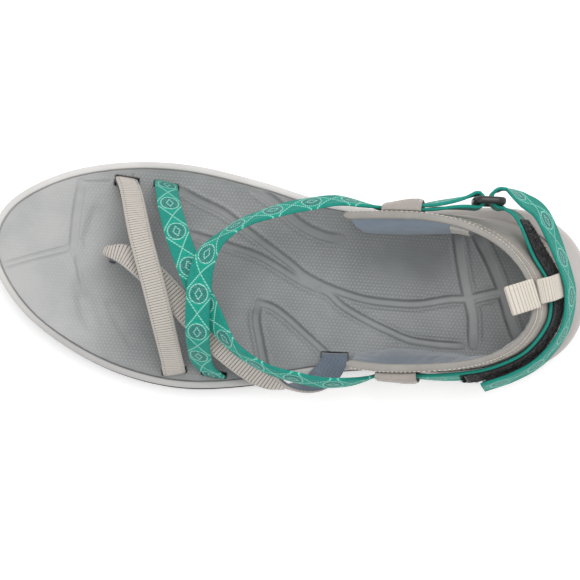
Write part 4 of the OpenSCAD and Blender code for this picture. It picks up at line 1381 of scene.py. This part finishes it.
# ---------------------------------------------------------------- closure
BAR = 3.2
BAR_SIDES = 20
BAR_GAP = 10.6
RING_CLEAR = 17
HEEL_WIDTH = 15
RING_FRONT = np.array([77.6, 40.6, 58.5])
RING_REAR = RING_FRONT + [BAR_GAP, 0.3, 0]
LOOP_R = 3.0
TURN_R = 4.1
TURN_CENTRE = RING_REAR + [-0.4, 1.2, 0]
TURN_END = TURN_CENTRE[0] + 2.4
INNER_D = 1.15
FLAP_LIFT = 5.7
HEEL_ROW = 6.4
HEEL_STRAP_ROWS = stations(
    HEEL_WIDTH,
    (TURN_END + 0.3, TURN_CENTRE[1] - TURN_R, 58.7, 0.05, 1, 0.05), (96.6, 34.2, 59.8, 0.5, 0.85, 0.2),
    strap_row(5.2, 61.5, INNER_D + 0.3), strap_row(6.1, 62.3, INNER_D), strap_row(7, 62.5, INNER_D),
    strap_row(8, 62, INNER_D), strap_row(9, 60, INNER_D + 0.2, 0.04),
    strap_row(10, 57.5, INNER_D + 0.8, 0.12), strap_row(11, 55, INNER_D + 1.1, 0.17),
    strap_row(12, 52.5, INNER_D + 0.9, 0.12), strap_row(12.6, 51.3, INNER_D + 0.5, 0.06),
)
TURN_ROWS = stations(HEEL_WIDTH, *round_bar(TURN_CENTRE, TURN_R, np.arange(-90, -271, -22.5)))
FLAP_ROWS = stations(
    HEEL_WIDTH,
    (TURN_END + 0.3, TURN_CENTRE[1] + TURN_R, 58.3, 0.1, 1, 0.12), (98, 42.4, 58.4, 0.4, 0.8, 0.45),
    (107, 35.6, 58.2, 0.6, 0.62, 0.5), strap_row(6.1, 57.6, FLAP_LIFT + 0.6), strap_row(7, 57.4, FLAP_LIFT),
    strap_row(8, 56.8, FLAP_LIFT), strap_row(9, 55.4, FLAP_LIFT + 0.3, 0.06),
    strap_row(9.8, 54, FLAP_LIFT + 1, 0.12), strap_row(10.6, 52.2, FLAP_LIFT + 2.2, 0.16),
)
LOOP_END = (1.5, 51.5)
LOOP_ROWS = stations(
    HEEL_WIDTH, strap_row(*LOOP_END, 2.4),
    (60.5, 38.4, 54.2, -0.17, 0.97, 0.15), (71, 40.9, 57.6, -0.25, 0.97, 0.1),
    *round_bar(RING_FRONT, LOOP_R, np.arange(100, -93, -32)),
    (71.5, 37.4, 57.6, 0.1, -1, 0), (61, 36.2, 54.2, 0.08, -0.98, -0.1), turned(strap_row(*LOOP_END, 0.84)),
)


def joint_at(name):
    """Joint's place in millimetres."""
    for joint in frame["joints"]:
        if joint["name"] == name:
            return np.array(joint["pos_m"]) / MM


def across_joint(obj, along):
    """Bakes the object's placement into its mesh."""
    along = unit(np.asarray(along, float))
    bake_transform(obj)


def make_closure_strap():
    """One webbing strap: round the heel, through the ring and back as the closure flap."""
    rows = [turned(row) for row in HEEL_STRAP_ROWS[::-1]] + TURN_ROWS + FLAP_ROWS
    f = strap_frames(rows, 0.45)

    def row_near(point):
        return np.argmin(np.linalg.norm(f["at"] - point, axis=1))

    hinge_rows = [row_near(joint_at(name)) for name in ("flap_open", "flap_peel_middle", "flap_peel_tip")]
    opening, peel_1, peel_2 = (f["run"][row] for row in hinge_rows)
    half_turn = f["run"][row_near(TURN_CENTRE + [-TURN_R, 0, 0])]
    cuts = [0, half_turn, (opening + peel_1) / 2, (peel_1 + peel_2) / 2, f["run"][-1]]
    cuts = [f["run"][np.argmin(np.abs(f["run"] - at))] for at in cuts]
    peels = [(f["at"][row], f["along"][row], 3.2) for row in hinge_rows[1:]]
    # Name, CAD nodes, two body names, then a middle, a direction and a reach.
    lengths = [
        ("heel_strap_webbing", ["heel_strap", "strap_turn"], "sandal", "ring",
         np.array([94.5, 35.5, 58.8]), (-0.707, 0.707, 0), 3.5),
        ("closure_strap_root", ["closure_flap_root"], "ring", "flap_root",
         np.array([92.0, 45.6, 58.2]), (0.96, -0.28, 0), 2.8),
        ("closure_strap_middle", ["closure_flap_middle"], "flap_root", "flap_middle", *peels[0]),
        ("closure_strap_end", ["closure_flap_tip"], "flap_middle", "flap_tip", *peels[1]),
    ]
    for i, (name, nodes, a, b, middle, along, reach) in enumerate(lengths):
        part = cut(f, cuts[i], cuts[i + 1])
        band = ribbon(part, -WEBBING / 2, WEBBING / 2, webbing_relief, points=35, wander=0.2 if i == 0 else 0)
        obj = piece(name, [band], TEAL, None, nodes)
        across_joint(obj, along)
    return f


TAPE_END = 29
TAPE_SHIFT = 1.7
TAPE_NARROW = -1.2
TAPE_LOOPS = 1900
TAPE_FRAYS = 60


def make_tapes():
    f = strap_frames(HEEL_STRAP_ROWS, 0.7)
    start = f["run"][np.argmin(np.abs(f["at"][:40, 0] - 97.2))]
    f = cut(f, start, f["run"][-1] - TAPE_END)
    f["at"] = f["at"] - f["across"] * (TAPE_SHIFT * np.sign(f["across"][:, 2:3]))
    band = ribbon(f, WEBBING / 2 + 0.05, WEBBING / 2 + 0.75, narrow=TAPE_NARROW, points=15)
    parts = [band[:2]]
    reach = HEEL_WIDTH / 2 - TAPE_NARROW - 0.3
    # Soft loops standing out of the tape.
    for _ in range(TAPE_LOOPS):
        i = random.randrange(2, len(f["run"]) - 2)
        w = random.uniform(-1, 1) * reach
        base = on_strap(f, i, w, WEBBING / 2 + 0.7)
        turn = random.uniform(0, 2 * PI)
        lean = f["along"][i] * math.cos(turn) + f["across"][i] * math.sin(turn)
        size = random.uniform(0.35, 0.65)
        arc = np.linspace(0, PI, 5)
        path = base + lean * (np.cos(arc)[:, None] * size * 0.6)
        parts.append(tube(path + f["facing"][i] * (np.sin(arc)[:, None] * size), 0.06, 3))
    # Frayed end.
    for _ in range(TAPE_FRAYS):
        w = random.uniform(-1, 1) * reach
        base = on_strap(f, -1, w, WEBBING / 2 + random.uniform(0.1, 0.7))
        way = f["along"][-1] * random.uniform(0.6, 2.6) + f["facing"][-1] * random.uniform(-0.1, 0.7)
        bend = f["across"][-1] * random.uniform(-0.8, 0.8)
        share = np.linspace(0, 1, 5)[:, None]
        parts.append(tube(base + way * share + bend * share ** 2, 0.11, 3))
    piece("loop_tape_pile", parts, TAPE, "sandal", ["loop_tape"])


def make_hook_tape(f):
    hinge = joint_at("flap_peel_tip")
    start = f["run"][np.argmin(np.linalg.norm(f["at"] - hinge, axis=1))] + 0.4
    part = cut(f, start, f["run"][-1] - 0.8)
    band = ribbon(part, -WEBBING / 2 - 0.6, -WEBBING / 2 - 0.05, narrow=1.2, points=15)
    parts = [band[:2]]
    for i in range(2, len(part["run"]) - 2, 3):
        for w in np.arange(-5.2, 5.3, 1.3):
            base = on_strap(part, i, w, -WEBBING / 2 - 0.55)
            arc = np.linspace(0, 1.35 * PI, 6)
            path = base - part["facing"][i] * (0.42 * np.sin(arc / 1.35 / 2)[:, None] * 1.2)
            path = path + part["along"][i] * (0.22 * (1 - np.cos(arc))[:, None])
            parts.append(tube(path, 0.09, 4))
    piece("hook_tape_hooks", parts, TAPE, "flap_tip", ["hook_tape"])


def rounded_loop(corners, radius, steps=8):
    """Closed path round four corners in order, with round turns."""
    out = []
    n = len(corners)
    for i in range(n):
        p = np.asarray(corners[i], float)
        a = unit(np.asarray(corners[i - 1], float) - p)
        b = unit(np.asarray(corners[(i + 1) % n], float) - p)
        centre = p + (a + b) * radius
        for s in np.linspace(0, PI / 2, steps):
            out.append(centre - b * radius * math.cos(s) - a * radius * math.sin(s))
    return np.array(out)


def make_ring():
    half = RING_CLEAR / 2 + BAR / 2
    up = np.array([0, 0, half])
    corners = [RING_FRONT - up, RING_FRONT + up, RING_REAR + up, RING_REAR - up]
    path = rounded_loop(corners, 2.4)
    along = unit(np.roll(path, -1, axis=0) - np.roll(path, 1, axis=0))
    thick = unit(np.cross(RING_REAR - RING_FRONT, (0, 0, 1)))
    side = unit(np.cross(along, thick))
    turn = np.arange(BAR_SIDES) * 2 * PI / BAR_SIDES
    wide, tall = (np.abs(wave) ** 0.75 * np.sign(wave) for wave in (np.cos(turn), np.sin(turn)))
    rings = path[:, None] + BAR / 2 * (side[:, None] * wide[None, :, None] + thick * tall[None, :, None])
    piece("buckle_ring", [loft(rings, closed=True)], PLASTIC, "ring", ["closure_ring"])


def make_ring_loop():
    f = strap_frames(LOOP_ROWS, 0.45)
    band = ribbon(f, -WEBBING / 2, WEBBING / 2, webbing_relief, points=33)
    piece("ring_loop_webbing", [band], TEAL, "sandal", ["ring_webbing_loop"])


# ---------------------------------------------------------------- keeper and pull tab
KEEPER_ROWS = [
    (78, 0.95), (75.2, 1.3), (73, 3.8), (70, 4.3), (66, 4.2), (60, 3.9), (55, 3.7), (52.4, 2), (48, 0.9),
    (44, 0.9),
]
KEEPER_THICKNESS = 1.1
TAB_WIDTH = 12.5
TAB_LAYER = 1.2
TAB_ANGLE = math.radians(22)
TAB_OUT = np.array([math.cos(TAB_ANGLE), math.sin(TAB_ANGLE), 0])
TAB_SIDE = [
    (0, 0.2), (2.2, 1.1), (4.2, 2.5), (6.6, 4.1), (9, 5.2), (11, 5.3), (12, 3.9), (10.8, 2.5),
    (8.6, 1.6), (6.4, 0.6), (4.4, -0.4), (2.4, -0.7),
]


def make_keeper():
    rows = []
    for z, d in KEEPER_ROWS:
        p = on_counter(HEEL_ROW, height_share(HEEL_ROW, z), d)
        rows.append([*p, *counter_out(HEEL_ROW, 0.7), TAB_WIDTH - 2])
    f = strap_frames(rows, 0.25)
    band = ribbon(f, -KEEPER_THICKNESS / 2, KEEPER_THICKNESS / 2, rib_relief(TAB_RIB, 0.34, 0.5))
    piece("strap_keeper_band", [band], TAB_RIBBON, "sandal", ["strap_keeper"])


def make_pull_tab():
    hinge = on_counter(HEEL_ROW, 1.0, 0.0) + [0.2, 0, 1.9]
    side = line(TAB_SIDE, 34)
    points = hinge - TAB_OUT * side[:, :1] + np.array([0, 0, 1]) * side[:, 1:]
    across = np.cross(TAB_OUT, (0, 0, 1))
    along = unit(np.gradient(points, axis=0))
    facing = np.cross(across, along)
    rows = np.column_stack([points, facing, np.full(len(points), TAB_WIDTH)])
    f = strap_frames(rows, 0.22)
    band = ribbon(f, -TAB_LAYER / 2, TAB_LAYER / 2, rib_relief(TAB_RIB, 0.34, 0.5), points=15)
    piece("pull_tab_loop", [band], TAB_RIBBON, "tab", ["pull_tab"])
    w = np.arange(-5.2, 5.3, 1.5)
    pick = np.argmin(np.abs(f["run"] - 1.8))
    centre = on_strap(f, pick, w[:, None], TAB_LAYER / 2 + 0.1)
    across, facing = (np.tile(f[key][pick], (len(w), 1)) for key in ("across", "facing"))
    parts = beads(centre, across, facing, (1.1, 0.45, 0.35))
    piece("pull_tab_stitches", parts, CREAM_THREAD, "tab")


# ---------------------------------------------------------------- assembly
def make_shank():
    node = frame["nodes"]["arch_shank"]
    node.data.materials.clear()
    node.data.materials.append(PLASTIC)


def make_floor():
    corners = [(x * FLOOR_HALF, y * FLOOR_HALF, 0) for x, y in ((-1, -1), (1, -1), (1, 1), (-1, 1))]
    floor = bpy.data.meshes.new("floor")
    floor.from_pydata(corners, [], [(0, 1, 2, 3)])
    obj = bpy.data.objects.new("floor", floor)
    floor.materials.append(floor_material())
    bpy.context.scene.collection.objects.link(obj)


make_floor()
make_outsole()
make_midsole()
make_shank()
make_footbed()
make_forefoot_straps()
make_counter_leather()
make_binding()
make_pads()
make_pad_seams()
make_seam_tab()
make_side_panel("medial_panel_tunnel", 0.95, 1.88, 0.95, 0.6, 4.8, 0.3, "medial_side_panel")
make_side_panel("lateral_panel_tunnel", 12.05, 13.15, 13.15, 0.85, 4, 0.2, "lateral_side_panel")
strap = make_closure_strap()
make_tapes()
make_hook_tape(strap)
make_ring()
make_ring_loop()
make_keeper()
make_pull_tab()
